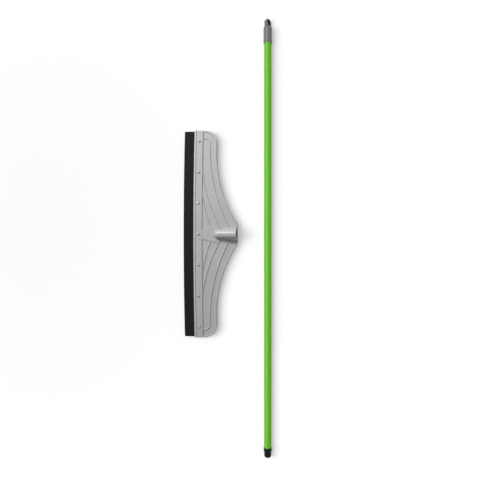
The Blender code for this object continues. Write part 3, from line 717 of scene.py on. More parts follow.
class Finish(Nodes):
    """A procedural material under construction, on a Principled shader."""

    def __init__(self, name, colour, roughness, metallic=0.0, specular=0.5):
        self.material = bpy.data.materials.new(name)
        self.material.use_nodes = True
        super().__init__(self.material.node_tree)
        self.shader = self.tree.nodes["Principled BSDF"]
        self.colour = tuple(colour)
        self.set("Base Color", (*self.colour, 1))
        self.set("Roughness", roughness)
        self.set("Metallic", metallic)
        self.set("Specular IOR Level", specular)
        self.place = self.node("TexCoord").outputs["Object"]
        self.bump = None

    def set(self, socket, value):
        self.feed(value, self.shader.inputs[socket])

    def stretched(self, x, y, z):
        """Object coordinates scaled along each axis."""
        return self.node("Mapping", {"Vector": self.place, "Scale": (x, y, z)}).outputs["Vector"]

    def noise(self, scale, detail, place=None, roughness=0.55):
        return self.node("TexNoise", {"Vector": place or self.place, "Scale": scale, "Detail": detail,
                                      "Roughness": roughness}).outputs["Fac"]

    def cells(self, scale):
        return self.node("TexVoronoi", {"Vector": self.place, "Scale": scale}).outputs["Distance"]

    def blend(self, first, share, second):
        """Two patterns in one, the first with this share."""
        return self.math("ADD", self.math("MULTIPLY", first, share),
                         self.math("MULTIPLY", second, 1 - share))

    def shaded(self, pattern, low, high, darker, lighter):
        """Base colour that follows a pattern, from darker to lighter times the finish's own."""
        made = self.node("Mix", {"Factor": self.ranged(pattern, low, high, 0, 1)})
        made.data_type = "RGBA"
        ends = [s for s in made.inputs if s.type == "RGBA"]
        for socket, strength in zip(ends, (darker, lighter)):
            self.feed((*(min(c * strength, 1) for c in self.colour), 1), socket)
        self.set("Base Color", next(s for s in made.outputs if s.type == "RGBA"))

    def rough(self, pattern, low, high, smoother, rougher):
        self.set("Roughness", self.ranged(pattern, low, high, smoother, rougher))

    def raised(self, height, distance, strength):
        """Adds a layer of bump."""
        made = self.node("Bump", {"Height": height, "Distance": distance, "Strength": strength})
        if self.bump:
            self.feed(self.bump, made.inputs["Normal"])
        self.bump = made.outputs["Normal"]
        self.set("Normal", self.bump)


def moulding_finish(colours):
    """Satin grey polypropylene: faint clouding and flow along the blade, fine spark-eroded texture."""
    known = bpy.data.materials.get("grey_polypropylene")
    if known:
        return known
    made = Finish("grey_polypropylene", colours.moulding, 0.36)
    flow = made.noise(1.0, 3.0, made.stretched(140, 9, 60))
    made.shaded(made.blend(made.noise(9.0, 4.0), 0.55, flow), 0.35, 0.65, 0.955, 1.045)
    made.rough(made.noise(220.0, 2.0), 0.3, 0.7, 0.30, 0.40)
    made.raised(made.noise(900.0, 3.0), 0.00008, 0.35)
    made.raised(made.noise(45.0, 2.0), 0.0006, 0.06)
    return made.material


def foam_finish(colours):
    """Black closed-cell foam: open pores on the cut faces, slightly mottled, dull."""
    made = Finish("black_foam_rubber", colours.foam, 0.88, specular=0.15)
    mottle = made.noise(320.0, 4.0)
    streaks = made.noise(1.0, 2.0, made.stretched(420, 14, 300))
    made.shaded(made.blend(mottle, 0.6, streaks), 0.35, 0.65, 0.72, 1.35)
    made.rough(mottle, 0.3, 0.7, 0.80, 0.95)
    made.raised(made.ranged(made.cells(950.0), 0.05, 0.45, 0, 1), 0.00022, 0.55)
    made.raised(made.noise(110.0, 3.0), 0.0005, 0.3)
    return made.material


def rivet_finish(colours):
    """Satin aluminium with a fine grain."""
    made = Finish("satin_aluminium", colours.rivet, 0.35, metallic=0.5)
    grain = made.noise(1.0, 4.0, made.stretched(900, 900, 3000))
    made.shaded(grain, 0.3, 0.7, 0.9, 1.08)
    made.rough(made.noise(600.0, 2.0), 0.3, 0.7, 0.28, 0.40)
    made.raised(grain, 0.00004, 0.3)
    return made.material


def zinc_finish():
    """Bright zinc on steel, clouded by its plating."""
    made = Finish("zinc_plating", (0.50, 0.50, 0.52), 0.35, metallic=1.0)
    clouds = made.noise(350.0, 4.0)
    made.shaded(clouds, 0.3, 0.7, 0.8, 1.15)
    made.rough(clouds, 0.3, 0.7, 0.28, 0.45)
    made.raised(clouds, 0.00003, 0.3)
    return made.material


def steel_finish():
    """Bare drawn steel, streaked along the tube."""
    made = Finish("drawn_steel", (0.45, 0.45, 0.46), 0.4, metallic=1.0)
    streaks = made.noise(1.0, 4.0, made.stretched(1600, 12, 1600))
    made.shaded(streaks, 0.3, 0.7, 0.85, 1.1)
    made.rough(streaks, 0.3, 0.7, 0.32, 0.48)
    made.raised(streaks, 0.00003, 0.4)
    return made.material


def coating_finish(colours):
    """Extruded green plastic: faint lines along the pole and a slight orange peel under its gloss."""
    made = Finish("green_coating", colours.coating, 0.36, specular=0.3)
    made.set("Coat Weight", 0.08)
    made.set("Coat Roughness", 0.2)
    lines = made.noise(1.0, 3.0, made.stretched(700, 3.0, 700))
    made.shaded(made.blend(lines, 0.6, made.noise(30.0, 3.0)), 0.35, 0.65, 0.95, 1.05)
    made.rough(made.noise(260.0, 2.0), 0.3, 0.7, 0.30, 0.40)
    made.raised(made.noise(380.0, 2.0), 0.00005, 0.35)
    made.raised(lines, 0.00004, 0.3)
    return made.material


def insert_finish(colours):
    """Black moulded plastic, scuffed where the thread has been screwed in."""
    known = bpy.data.materials.get("black_plastic")
    if known:
        return known
    made = Finish("black_plastic", colours.insert, 0.5, specular=0.1)
    scuffs = made.noise(1.0, 4.0, made.stretched(500, 1500, 500))
    made.shaded(scuffs, 0.45, 0.8, 0.9, 2.2)
    made.rough(scuffs, 0.35, 0.7, 0.38, 0.62)
    made.raised(made.noise(1100.0, 2.0), 0.00006, 0.35)
    return made.material


def cap_finish(colours):
    """Mid grey moulded plastic with a fine matt texture."""
    made = Finish("grey_cap_plastic", colours.cap, 0.32, specular=0.65)
    made.shaded(made.noise(60.0, 4.0), 0.35, 0.65, 0.93, 1.07)
    made.rough(made.noise(500.0, 2.0), 0.3, 0.7, 0.28, 0.36)
    made.raised(made.noise(1000.0, 3.0), 0.00002, 0.3)
    return made.material


def along_blade(section, half_length, top_round):
    """A section in x and z carried along the bowed head, its upper edge rounded at the ends."""
    places = [(y, 0) for y in spaced(top_round - half_length, half_length - top_round, 90)]
    for a in quarter(4)[1:]:
        end = half_length - top_round + top_round * math.sin(a)
        drop = top_round * (1 - math.cos(a))
        places.insert(0, (-end, drop))
        places.append((end, drop))
    middle = (min(z for _, z in section) + max(z for _, z in section)) / 2
    loops = []
    for y, drop in places:
        loops.append([(x + bow(y), y, z - drop if z > middle else z) for x, z in section])
    return loft(loops)


def jaw_section(settings):
    """Jaw strip with its sloping front lip and groove, and the wall that the foam butts against."""
    wall_back = JAW_DEPTH + JAW_BACK_WALL
    return rounded([
        (0, JAW_BOTTOM, SMALL),
        (0, JAW_TOP - LIP_FRONT_DROP, SMALL),
        (LIP_CREST, JAW_TOP + LIP_HEIGHT, SOFT),
        (GROOVE_PLACE, JAW_TOP - GROOVE_DEPTH, FINE),
        (GROOVE_PLACE + GROOVE_WIDTH, JAW_TOP, SMALL),
        (JAW_DEPTH, JAW_TOP, settings.edge_round),
        (JAW_DEPTH, WEB_TOP, settings.fillet),
        (wall_back - SEAM, WEB_TOP - SUNK, 0),
        (wall_back, WEB_TOP - SEAM, 0),
        (wall_back, LIFT, SLIGHT),
        (JAW_DEPTH, LIFT, SLIGHT),
        (JAW_DEPTH, JAW_BOTTOM, 0),
    ])


def web_outline():
    """Plan of the web, from the middle of the jaw's back wall to just inside the trailing edge."""
    front = JAW_DEPTH + JAW_BACK_WALL / 2
    end = HALF_LENGTH - SKIRT_WALL / 2
    back_edge = [p for p in shifted(edge_half(), SEAM * 2) if p[0] > front]
    front_edge = [(front, y) for y in spaced(-end, end, 60)]
    return bowed(mirrored(back_edge) + front_edge)


def border(settings):
    """Skirt and raised rim: one rounded section carried round the head between its front corners."""
    section = rounded([
        (0, 0, SOFT),
        (SKIRT_DRAFT, RIM_TOP, settings.edge_round),
        (RIM_CREST, RIM_TOP, SOFT),
        (RIM_WIDTH, WEB_TOP, settings.fillet),
        (RIM_WIDTH + settings.fillet * FOOT_REACH, WEB_TOP - SUNK, 0),
        (RIM_WIDTH, WEB_TOP - SEAM, 0),
        (SKIRT_WALL, WEB_TOP - SEAM, 0),
        (SKIRT_WALL, 0, SOFT),
    ])
    return swept(bowed(mirrored(edge_half())), section)


def rib_section(settings):
    """Cross-section of a surface rib: rounded crest, and feet that flow into the web."""
    foot = settings.rib_width / 2
    crest = foot - settings.rib_height * RIB_LEAN
    top = WEB_TOP + settings.rib_height
    flow = settings.fillet * FOOT_REACH
    return rounded([
        (-foot - flow, WEB_TOP - SUNK, 0),
        (-foot, WEB_TOP, settings.fillet),
        (-crest, top, SOFT),
        (crest, top, SOFT),
        (foot, WEB_TOP, settings.fillet),
        (foot + flow, WEB_TOP - SUNK, 0),
        (foot, WEB_TOP - SEAM, 0),
        (-foot, WEB_TOP - SEAM, 0),
    ], steps=4)


def outer_rib():
    """Rib that leaves the jaw near its end in a hook and sweeps to the socket's fairing."""
    offset = WING_DEPTH - OUTER_RIB_INSET
    hook_line = HALF_LENGTH - OUTER_RIB_HOOK_INSET
    hook_centre = (offset - OUTER_RIB_HOOK_RADIUS, hook_line - OUTER_RIB_HOOK_RADIUS)
    line = [(JAW_DEPTH - SEAM, hook_line)]
    line += arc(hook_centre, OUTER_RIB_HOOK_RADIUS, 90, 0, 20)
    line += swept_line(offset, SWEEP_START + OUTER_RIB_LEAD, OUTER_RIB_RADIUS, hook_centre[1],
                       SOCKET_RADIUS + SEAM, 60)[1:]
    return line


def parting_rib(settings, lead, radius, end, steps):
    """Rib that parts little by little from the jaw and sweeps towards the socket as far as y = end."""
    start = SWEEP_START + lead
    inside = JAW_DEPTH - settings.rib_width / 2 - PARTING_RIB_INSET
    return swept_line(inside, start, radius, start, end, steps)


def surface_ribs(settings):
    lines = [
        outer_rib(),
        parting_rib(settings, MIDDLE_RIB_LEAD, MIDDLE_RIB_RADIUS, SOCKET_RADIUS - SEAM, 56),
        parting_rib(settings, INNER_RIB_LEAD, INNER_RIB_RADIUS, PAD_FRONT_HALF_WIDTH + SEAM, 40),
    ]
    section = rib_section(settings)
    return merged([swept(side, section) for line in lines for side in both_sides(line)])


def pad(settings):
    """Raised pad in front of the socket, its corners rounded in plan and its edges in section."""
    back = NOSE_TIP.x + PAD_REACH
    corners = [
        (JAW_DEPTH - SEAM * 2, PAD_FRONT_HALF_WIDTH, 0),
        (back, PAD_BACK_HALF_WIDTH, PAD_CORNER_RADIUS),
        (back + PAD_TAPER / 2, PAD_BACK_HALF_WIDTH - PAD_TAPER, 0),
    ]
    outline = bowed(mirrored(rounded(corners, closed=False)))
    top = WEB_TOP + PAD_HEIGHT
    side = rounded([
        (-settings.fillet * FOOT_REACH, WEB_TOP - SUNK, 0),
        (0, WEB_TOP, settings.fillet),
        (PAD_LEAN, top, SOFT),
        (PAD_FLAT, top, 0),
    ], closed=False)
    layers = [(0, WEB_TOP - SEAM)] + side
    return loft([level(shifted(outline, distance, closed=True), z) for distance, z in layers])


def under_wall_section():
    root = UNDER_RIB_WALL / 2
    foot = root * UNDER_RIB_TAPER
    return rounded([
        (-foot, UNDER_RIB_LIFT, SMALL),
        (-root, WEB_BOTTOM + SEAM, 0),
        (root, WEB_BOTTOM + SEAM, 0),
        (foot, UNDER_RIB_LIFT, SMALL),
    ], steps=3)


def under_walls():
    """Cross ribs with the keels beside the socket, and the walls under the outer ribs."""
    root = JAW_DEPTH + JAW_BACK_WALL - SEAM
    lines = [[(x, KEEL_OFFSET) for x in (root, TIP_DEPTH - SKIRT_WALL + SEAM)]]
    for i in range(1, CROSS_RIB_COUNT + 1):
        y = i * CROSS_RIB_PITCH
        lines.append([(root, y), (edge_x(y) - SKIRT_WALL + SEAM, y)])
    sweep = swept_line(WING_DEPTH - OUTER_RIB_INSET, SWEEP_START + OUTER_RIB_LEAD, OUTER_RIB_RADIUS,
                       CROSS_RIB_COUNT * CROSS_RIB_PITCH, KEEL_OFFSET, 40)
    section = under_wall_section()
    crossing = [swept(side, section) for line in lines for side in both_sides(line)]
    lengthwise = [swept(side, section) for side in both_sides(sweep)]
    return merged(crossing), merged(lengthwise)


def socket_tube():
    """Tube with a rounded mouth and a domed nose."""
    nose_base = SOCKET_LENGTH - SOCKET_NOSE_LENGTH
    mouth = (SOCKET_RADIUS - SOCKET_MOUTH_ROUND, -SOCKET_MOUTH_ROUND)
    profile = [(0, 0)] + arc(mouth, SOCKET_MOUTH_ROUND, 90, 0, 4)
    for a in quarter(18)[:-1]:
        profile.append((SOCKET_RADIUS * math.cos(a), -nose_base - SOCKET_NOSE_LENGTH * math.sin(a)))
    profile.append((0, -SOCKET_LENGTH))
    return along_socket(turned(profile, 72))


def socket_bore(thread):
    """Cutter for the blind bore: it runs at the thread's crests, and ridges on it cut the grooves."""
    depth = thread.thread_depth
    profile = []
    for z in spaced(-BORE_DEPTH, -BORE_THREAD_START, 130):
        share = min((z + BORE_DEPTH) / BORE_LEAD_IN, 1) * BORE_THREAD_SHARE
        profile.append((z, BORE_RADIUS + depth * share, share))
    profile.append((-BORE_CHAMFER_DEPTH, BORE_RADIUS + BORE_CHAMFER_INNER, 0))
    profile.append((SEAM, BORE_RADIUS + BORE_CHAMFER_OUTER, 0))
    return along_socket(screw(profile, depth, thread.thread_pitch, 56))


def fairing():
    """The flared foot that carries the socket, through sections square to its axis: steep flanks and a
    ledge level with the axis."""
    base = WEB_TOP - SUNK
    loops = []
    for part in spaced(0, 1, 24):
        centre = SOCKET_MOUTH - SOCKET_AXIS * (FAIRING_SETBACK + part * FAIRING_LENGTH)
        foot = FAIRING_HALF_WIDTH + (FAIRING_NOSE_HALF_WIDTH - FAIRING_HALF_WIDTH) * part
        height = (centre.z - base) / SOCKET_UP.z
        ledge = foot - FAIRING_LEAN * (1 - part)
        flank = rounded([
            (foot + FAIRING_FOOT_FLARE, 0, 0),
            (foot, FAIRING_FOOT_RISE, FAIRING_FILLET),
            (ledge, height, FAIRING_LEDGE_ROUND),
            (ledge - FAIRING_LEDGE, height, 0),
        ], closed=False)
        side = []
        for half, up in [(foot + FAIRING_FOOT_FLARE, -SEAM)] + flank:
            place = centre + SOCKET_UP * (up - height)
            side.append((place.x, half, place.z))
        loops.append(side + [(x, -y, z) for x, y, z in reversed(side)])
    return loft(loops)


def rivet_rods(radius, bottom, top):
    """Upright rods at the rivets' places, in head coordinates."""
    return merged([moved(rod(radius, bottom, top), Matrix.Translation(place - HEAD_PLACE))
                   for place in RIVET_PLACES])


class SQUEEGEE_OT_body(Operator):
    """Makes the head's moulding, with rounded edges, filleted ribs and the threaded socket"""

    bl_idname = "squeegee.body"
    bl_label = "Moulded body"

    def execute(self, context):
        settings = context.scene.squeegee_head
        jaw = along_blade(jaw_section(settings), HALF_LENGTH - SKIRT_DRAFT, JAW_END_ROUND)
        body = piece("moulded_body", jaw, HEAD_PLACE)
        joined(body, prism(web_outline(), WEB_BOTTOM, WEB_TOP), "web")
        joined(body, border(settings), "border")
        joined(body, surface_ribs(settings), "surface_ribs")
        joined(body, pad(settings), "pad")
        crossing, lengthwise = under_walls()
        joined(body, crossing, "cross_ribs")
        joined(body, lengthwise, "lengthwise_ribs")
        joined(body, fairing(), "fairing")
        joined(body, socket_tube(), "socket")
        cut(body, socket_bore(context.scene.squeegee_pole), "socket_bore")
        cut(body, rivet_rods(RIVET_HOLE_RADIUS, JAW_BOTTOM - SEAM, JAW_TOP + SEAM), "jaw_holes")
        dress(body, "head", "body", moulding_finish(context.scene.squeegee_finish))
        return {"FINISHED"}


class SQUEEGEE_OT_clamp_bar(Operator):
    """Makes the lower jaw, with the pockets for the rivets' ends"""

    bl_idname = "squeegee.clamp_bar"
    bl_label = "Clamp bar"

    def execute(self, context):
        back = JAW_DEPTH - GAP
        section = rounded([
            (0, CLAMP_LOW.z + BAR_CHAMFER_HEIGHT, BAR_FRONT_ROUND),
            (0, CLAMP_HIGH.z, SOFT),
            (back, CLAMP_HIGH.z, 0),
            (back, CLAMP_LOW.z, SOFT),
            (BAR_CHAMFER_DEPTH, CLAMP_LOW.z, BAR_FOOT_ROUND),
        ])
        mesh = along_blade(section, HALF_LENGTH - SKIRT_WALL - GAP, BAR_END_ROUND)
        bar = piece("lower_jaw", mesh, HEAD_PLACE)
        cut(bar, rivet_rods(POCKET_RADIUS, CLAMP_LOW.z - SEAM, POCKET_TOP), "rivet_pockets")
        cut(bar, rivet_rods(RIVET_HOLE_RADIUS, POCKET_TOP - SEAM, CLAMP_HIGH.z + SEAM), "clamp_holes")
        dress(bar, "head", "clamp_bar", moulding_finish(context.scene.squeegee_finish))
        return {"FINISHED"}


def foam_mesh(bottom, settings, seed):
    """A strip of foam, soft along its edges, rounded at its free corners and not quite straight."""
    top = bottom + FOAM_THICKNESS
    back = JAW_DEPTH - GAP
    corner = FOAM_CORNER_RADIUS
    end = [(corner * (1 - math.cos(a)), FOAM_HALF_LENGTH - corner * (1 - math.sin(a))) for a in quarter(8)]
    places = [(held_back, -y) for held_back, y in reversed(end)]
    places += [(0, y) for y in spaced(corner - FOAM_HALF_LENGTH, FOAM_HALF_LENGTH - corner, 220)[1:-1]]
    places += end
    loops = []
    for held_back, y in places:
        stray = settings.foam_wave * (1 + noise.noise(Vector((y * FOAM_BENDS, seed, 0)))) / 2
        front = held_back - FOAM_REACH + stray
        section = rounded([
            (front, bottom, settings.foam_edge),
            (front, top, settings.foam_edge),
            (FOAM_GRIP, top, 0),
            (back, top, 0),
            (back, bottom, 0),
            (FOAM_GRIP, bottom, 0),
        ], steps=4)
        loops.append([(x + bow(y), y, z) for x, z in section])
    return loft(loops)


class SQUEEGEE_OT_foam(Operator):
    """Makes the two foam-rubber strips of the blade"""

    bl_idname = "squeegee.foam"
    bl_label = "Foam strips"

    def execute(self, context):
        settings = context.scene.squeegee_head
        finish = foam_finish(context.scene.squeegee_finish)
        for number, (node, name) in enumerate(FOAM_STRIPS):
            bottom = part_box(node)[0].z
            top = bottom + FOAM_THICKNESS
            strip = piece(name, foam_mesh(bottom, settings, number * FOAM_NOISE_STEP), HEAD_PLACE)
            cut(strip, rivet_rods(RIVET_HOLE_RADIUS, bottom - SEAM, top + SEAM), "holes")
            dress(strip, "head", node, finish, 50)
        return {"FINISHED"}


def rivet_mesh():
    """Domed head with a thin edge, shank, and the hollow end rolled over its washer."""
    base = JAW_TOP + GAP
    rim = base + RIVET_RIM
    dome = RIVET_HIGH.z - rim
    tail = RIVET_LOW.z
    roll = RIVET_TAIL_HEIGHT / 2
    profile = [(0, tail + RIVET_DIMPLE_MIDDLE), (RIVET_DIMPLE_RADIUS, tail + RIVET_DIMPLE_EDGE)]
    profile += arc((RIVET_TAIL_RADIUS - roll - RIVET_ROLL_INSET, tail + roll), roll, -120, 90, 10)
    profile += [
        (RIVET_SHANK_RADIUS, tail + RIVET_TAIL_HEIGHT),
        (RIVET_SHANK_RADIUS, base),
        (RIVET_HEAD_RADIUS - RIVET_RIM_CHAMFER, base),
        (RIVET_HEAD_RADIUS, base + RIVET_RIM_CHAMFER),
        (RIVET_HEAD_RADIUS, rim),
    ]
    for a in quarter(12)[1:-1]:
        profile.append((RIVET_HEAD_RADIUS * math.cos(a), rim + dome * math.sin(a)))
    profile.append((0, rim + dome))
    return turned(profile, 40)


class SQUEEGEE_OT_rivets(Operator):
    """Makes the row of rivets"""

    bl_idname = "squeegee.rivets"
    bl_label = "Rivets"

    def execute(self, context):
        finish = rivet_finish(context.scene.squeegee_finish)
        for number, place in enumerate(RIVET_PLACES, 1):
            rivet = piece(f"domed_rivet_{number}", rivet_mesh(), place)
            dress(rivet, "head", f"rivet_{number}", finish)
        return {"FINISHED"}


class SQUEEGEE_OT_washers(Operator):
    """Makes the washers under the rivets' rolled ends"""

    bl_idname = "squeegee.washers"
    bl_label = "Washers"

    def execute(self, context):
        finish = zinc_finish()
        section = rounded([
            (RIVET_HOLE_RADIUS, WASHER_LOW.z, HAIR),
            (WASHER_RADIUS, WASHER_LOW.z, WASHER_LOWER_ROUND),
            (WASHER_RADIUS, WASHER_HIGH.z, WASHER_UPPER_ROUND),
            (RIVET_HOLE_RADIUS, WASHER_HIGH.z, HAIR),
        ], steps=3)
        for number, place in enumerate(RIVET_PLACES, 1):
            washer = piece(f"flat_washer_{number}", turned(section, 36), place)
            dress(washer, "head", f"washer_{number}", finish)
        return {"FINISHED"}


class SQUEEGEE_OT_tube(Operator):
    """Gives the steel tube inside the coating its finish"""

    bl_idname = "squeegee.tube"
    bl_label = "Pole tube"

    def execute(self, context):
        tube = frame["nodes"]["pole_tube"]
        tube.data.materials.clear()
        tube.data.materials.append(steel_finish())
        return {"FINISHED"}


class SQUEEGEE_OT_coating(Operator):
    """Makes the pole's green skin"""

    bl_idname = "squeegee.coating"
    bl_label = "Pole coating"

    def execute(self, context):
        start = COATING_LOW.y - INSERT_LOW.y
        end = start + COATING_LENGTH
        inner = POLE_RADIUS - COATING_WALL
        profile = rounded([
            (inner, start, HAIR),
            (POLE_RADIUS, start, SLIGHT),
            (POLE_RADIUS, end, SLIGHT),
            (inner, end, HAIR),
        ], steps=3)
        skin = piece("green_skin", along_pole(turned(profile, 96)))
        dress(skin, "pole", "pole_coating", coating_finish(context.scene.squeegee_finish))
        return {"FINISHED"}


def insert_profile():
    """Rounded tip, screw, neck and plug, as (z, radius, share of the thread's depth)."""
    profile = []
    for a in quarter(10):
        radius = SHANK_RADIUS - SHANK_TIP_ROUND * (1 - math.sin(a))
        profile.append((SHANK_TIP_ROUND * (1 - math.cos(a)), radius, THREAD_TIP_SHARE * math.sin(a) ** 2))
    screw_end = SHANK_LENGTH - SHANK_PLAIN
    for z in spaced(SHANK_TIP_ROUND, screw_end, 44)[1:]:
        run_in = min((z - SHANK_TIP_ROUND) / THREAD_RUN_IN, 1)
        run_out = (screw_end - z) / THREAD_RUN_OUT
        share = THREAD_TIP_SHARE + (1 - THREAD_TIP_SHARE) * run_in
        profile.append((z, SHANK_RADIUS, share if run_out >= 1 else run_out))
    profile.append((SHANK_LENGTH, SHANK_RADIUS, 0))
    neck = rounded([
        (SHANK_LENGTH, SHANK_RADIUS - NECK_ROOT, 0),
        (SHANK_LENGTH, NECK_RADIUS, NECK_ROUND),
        (NECK_END, NECK_RADIUS, SOFT),
        (NECK_END, PLUG_RADIUS, FINE),
        (PLUG_END, PLUG_RADIUS, PLUG_ROUND),
        (PLUG_END, 0, 0),
    ], closed=False)
    return profile + [(z, radius, 0) for z, radius in neck if radius > 0]


class SQUEEGEE_OT_insert(Operator):
    """Makes the black end plug with its screw"""

    bl_idname = "squeegee.insert"
    bl_label = "Threaded insert"

    def execute(self, context):
        thread = context.scene.squeegee_pole
        mesh = screw(insert_profile(), thread.thread_depth, thread.thread_pitch, 72)
        plug = piece("screw_plug", along_pole(mesh))
        finish = insert_finish(context.scene.squeegee_finish)
        dress(plug, "pole", "threaded_insert", finish, 45)
        return {"FINISHED"}


def cap_sleeve(settings):
    """Profile of the sleeve over the pole's end, with its rounded shoulder and its crown."""
    crown = CAP_SHOULDER - CROWN_THICKNESS
    return rounded([
        (CAP_BORE_RADIUS, CAP_MOUTH, FINE),
        (CAP_RADIUS, CAP_MOUTH, SOFT),
        (CAP_RADIUS, CAP_SHOULDER, settings.cap_round),
        (0, CAP_SHOULDER, 0),
        (0, crown, 0),
        (CAP_BORE_RADIUS, crown, SOFT),
    ])


def eye_edges(settings):
    """Rounding of the tongue's edge, as layers of (inset, share of the half thickness)."""
    radius = settings.eye_round
    return [(radius * (1 - math.sin(a)), 1 - radius * (1 - math.cos(a)) / (EYE_THICKNESS / 2))
            for a in reversed(quarter(5))]


def eye_slab(outline, layers):
    """Layers over an outline and their mirror image, turned about the pole to the eye's angle."""
    loops = []
    for inset, height in [(inset, -height) for inset, height in reversed(layers)] + layers:
        loops.append([(x, z, height * EYE_THICKNESS / 2) for x, z in shifted(outline, inset, closed=True)])
    stand_up = Matrix(((1, 0, 0, 0), (0, 0, -1, 0), (0, 1, 0, 0), (0, 0, 0, 1)))
    return moved(loft(loops), Matrix.Rotation(EYE_TURN, 4, "Z") @ stand_up)


def eye_tongue(settings):
    """Flat tongue with a round end, from inside the crown to the pole's end."""
    half_width = EYE_WIDTH / 2
    outline = [(-half_width, CAP_SHOULDER - EYE_ROOT)]
    outline += arc((0, POLE_LENGTH - half_width), half_width, 180, 0, 40)
    outline += [(half_width, CAP_SHOULDER - EYE_ROOT)]
    return eye_slab(outline, eye_edges(settings))


def eye_cutter(settings):
    """Cutter for the eye, flared to round its rims."""
    outline = arc((0, EYE_HOLE_HIGH), EYE_HOLE_RADIUS, 180, 0, 24)
    outline += arc((0, EYE_HOLE_LOW), EYE_HOLE_RADIUS, 0, -180, 24)
    flare = [(-inset, height) for inset, height in eye_edges(settings)]
    flare.append((-settings.eye_round - SEAM, EYE_CUT_REACH))
    return eye_slab(outline, flare)


def eye_shade_faces(mesh):
    """Numbers of the faces inside the eye, up to its rounded rims, which are painted black as shade."""
    upright = Matrix.Rotation(-EYE_TURN, 3, "Z")
    found = []
    for face in mesh.polygons:
        place = upright @ face.center
        off = math.hypot(place.x, place.z - min(max(place.z, EYE_HOLE_LOW), EYE_HOLE_HIGH))
        if off < EYE_HOLE_RADIUS + EYE_SHADE_MARGIN and abs((upright @ face.normal).y) < EYE_SHADE_LEAN:
            found.append(face.index)
    return found


class SQUEEGEE_OT_cap(Operator):
    """Makes the hanger cap with its eye, whose inner faces are painted black as shade"""

    bl_idname = "squeegee.cap"
    bl_label = "Hanger cap"

    def execute(self, context):
        settings = context.scene.squeegee_pole
        colours = context.scene.squeegee_finish
        cap = piece("eye_cap", turned(cap_sleeve(settings), 80))
        joined(cap, eye_tongue(settings), "eye_tongue")
        cut(cap, eye_cutter(settings), "eye_hole")
        settled(cap)
        painted_shade = eye_shade_faces(cap.data)
        cap.data.transform(POLE_LAY)
        dress(cap, "pole", "hanger_cap", cap_finish(colours))
        # the faces inside the eye get the black plastic as painted shade, where the hole only lies in
        # shadow
        cap.data.materials.append(insert_finish(colours))
        for number in painted_shade:
            cap.data.polygons[number].material_index = 1
        return {"FINISHED"}


def floor_finish(place, power, sky_share):
    """White floor. The camera and reflections see its colour evened out under the near lamp, so that it is
    white wherever no shadow falls."""
    made = Finish("white_floor", (FLOOR_PAINT,) * 3, 1.0)
    position = made.node("NewGeometry").outputs["Position"]
    source = Vector(place)
    along = made.vector("DOT_PRODUCT", made.vector("SUBTRACT", position, source), -source.normalized())
    share = made.math("MULTIPLY", along, power * source.z / math.pi ** 2)
    share = made.math("DIVIDE", share, made.math("POWER", made.vector("DISTANCE", position, source), 4.0))
    even = made.math("DIVIDE", FLOOR_WHITE - FLOOR_GLOW, made.math("ADD", share, sky_share))
    seen = made.seen("Is Glossy Ray")
    paint = made.node("BsdfDiffuse", {"Color": made.ranged(seen, 0, 1, FLOOR_PAINT, even)})
    glow = made.node("Emission", {"Strength": made.math("MULTIPLY", seen, FLOOR_GLOW + SHADOW_LIFT)})
    both = made.node("AddShader", {0: paint.outputs[0], 1: glow.outputs[0]})
    made.feed(both.outputs[0], made.tree.nodes["Material Output"].inputs["Surface"])
    made.tree.nodes.remove(made.shader)
    return made.material


def sky(strength):
    """Light from all round, stronger from the top left, which the camera and reflections see as white."""
    world = bpy.data.worlds.new("sky")
    world.use_nodes = True
    made = Nodes(world.node_tree)
    way = made.node("TexCoord").outputs["Generated"]
    slope = made.ranged(made.vector("DOT_PRODUCT", way, Vector(SKY_SIDE).normalized()), -1, 1,
                        strength * (1 - SKY_SLOPE), strength * (1 + SKY_SLOPE))
    seen = made.seen("Is Glossy Ray", "Is Transmission Ray")
    back = made.tree.nodes["Background"]
    made.feed((1, 1, 1, 1), back.inputs["Color"])
    made.feed(made.ranged(seen, 0, 1, slope, 1.0), back.inputs["Strength"])
    return world


def lamp(name, place, size, power, lit):
    """A soft box that faces the middle of the floor and lights some of the pieces."""
    box = bpy.data.lights.new(name, "AREA")
    box.shape = "RECTANGLE"
    box.size, box.size_y = size
    box.energy = power
    made = bpy.data.objects.new(name, box)
    made.location = place
    made.rotation_euler = (-Vector(place)).to_track_quat("-Z", "Y").to_euler()
    bpy.context.scene.collection.objects.link(made)
    group = bpy.data.collections.new("lit_by_the_" + name)
    for member in lit:
        group.objects.link(member)
    made.light_linking.receiver_collection = group


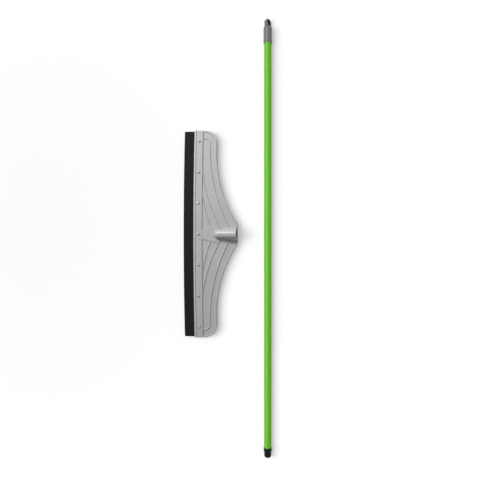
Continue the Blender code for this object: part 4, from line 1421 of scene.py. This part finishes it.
class SQUEEGEE_OT_stage(Operator):
    """Makes the floor, the lights and the camera"""

    bl_idname = "squeegee.stage"
    bl_label = "Stage"

    def execute(self, context):
        scene = context.scene
        settings = scene.squeegee_stage
        mesh = bmesh.new()
        bmesh.ops.create_circle(mesh, cap_ends=True, radius=FLOOR_RADIUS, segments=64)
        floor = piece("floor", mesh)
        paint = floor_finish(FLOOR_LIGHT_PLACE, settings.floor_power, settings.sky_strength)
        floor.data.materials.append(paint)
        scene.world = sky(settings.sky_strength)
        pole = [made for made in scene.objects if made.name in POLE_PIECES]
        head = [made for made in scene.objects if made.type == "MESH" and made not in (floor, *pole)]
        lamp("floor_light", FLOOR_LIGHT_PLACE, FLOOR_LIGHT_SIZE, settings.floor_power, [floor])
        lamp("head_light", HEAD_LIGHT_PLACE, HEAD_LIGHT_SIZE, settings.head_power, head)
        lamp("pole_light", POLE_LIGHT_PLACE, POLE_LIGHT_SIZE, settings.pole_power, pole)
        lens = bpy.data.cameras.new("camera")
        lens.angle = 2 * math.atan(settings.view_width / 2 / settings.camera_height)
        lens.clip_start = CLIP_START
        lens.clip_end = CLIP_END
        camera = bpy.data.objects.new("camera", lens)
        camera.location = (settings.camera_x, settings.camera_y, settings.camera_height)
        scene.collection.objects.link(camera)
        scene.camera = camera
        scene.view_settings.view_transform = "Standard"
        return {"FINISHED"}


GROUPS = {
    "squeegee_head": SqueegeeHeadSettings,
    "squeegee_pole": SqueegeePoleSettings,
    "squeegee_finish": SqueegeeFinishSettings,
    "squeegee_stage": SqueegeeStageSettings,
}
OPERATORS = (
    SQUEEGEE_OT_body,
    SQUEEGEE_OT_clamp_bar,
    SQUEEGEE_OT_foam,
    SQUEEGEE_OT_rivets,
    SQUEEGEE_OT_washers,
    SQUEEGEE_OT_tube,
    SQUEEGEE_OT_coating,
    SQUEEGEE_OT_insert,
    SQUEEGEE_OT_cap,
    SQUEEGEE_OT_stage,
)


class SQUEEGEE_PT_panel(Panel):
    """Lists the squeegee's pieces and their settings"""

    bl_idname = "SQUEEGEE_PT_panel"
    bl_label = "Floor squeegee"
    bl_space_type = "VIEW_3D"
    bl_region_type = "UI"
    bl_category = "Squeegee"

    def draw(self, context):
        layout = self.layout
        for operator in OPERATORS:
            layout.operator(operator.bl_idname)
        for name in GROUPS:
            group = getattr(context.scene, name)
            box = layout.box()
            for key in group.bl_rna.properties.keys():
                if key not in ("rna_type", "name"):
                    box.prop(group, key)


CLASSES = (*GROUPS.values(), *OPERATORS, SQUEEGEE_PT_panel)


def register():
    for kind in CLASSES:
        bpy.utils.register_class(kind)
    for name, kind in GROUPS.items():
        setattr(bpy.types.Scene, name, PointerProperty(type=kind))


def unregister():
    for name in GROUPS:
        delattr(bpy.types.Scene, name)
    for kind in reversed(CLASSES):
        bpy.utils.unregister_class(kind)


def main():
    register()
    bpy.ops.squeegee.body()
    bpy.ops.squeegee.clamp_bar()
    bpy.ops.squeegee.foam()
    bpy.ops.squeegee.rivets()
    bpy.ops.squeegee.washers()
    bpy.ops.squeegee.tube()
    bpy.ops.squeegee.coating()
    bpy.ops.squeegee.insert()
    bpy.ops.squeegee.cap()
    bpy.ops.squeegee.stage()


if __name__ == "__main__":
    main()
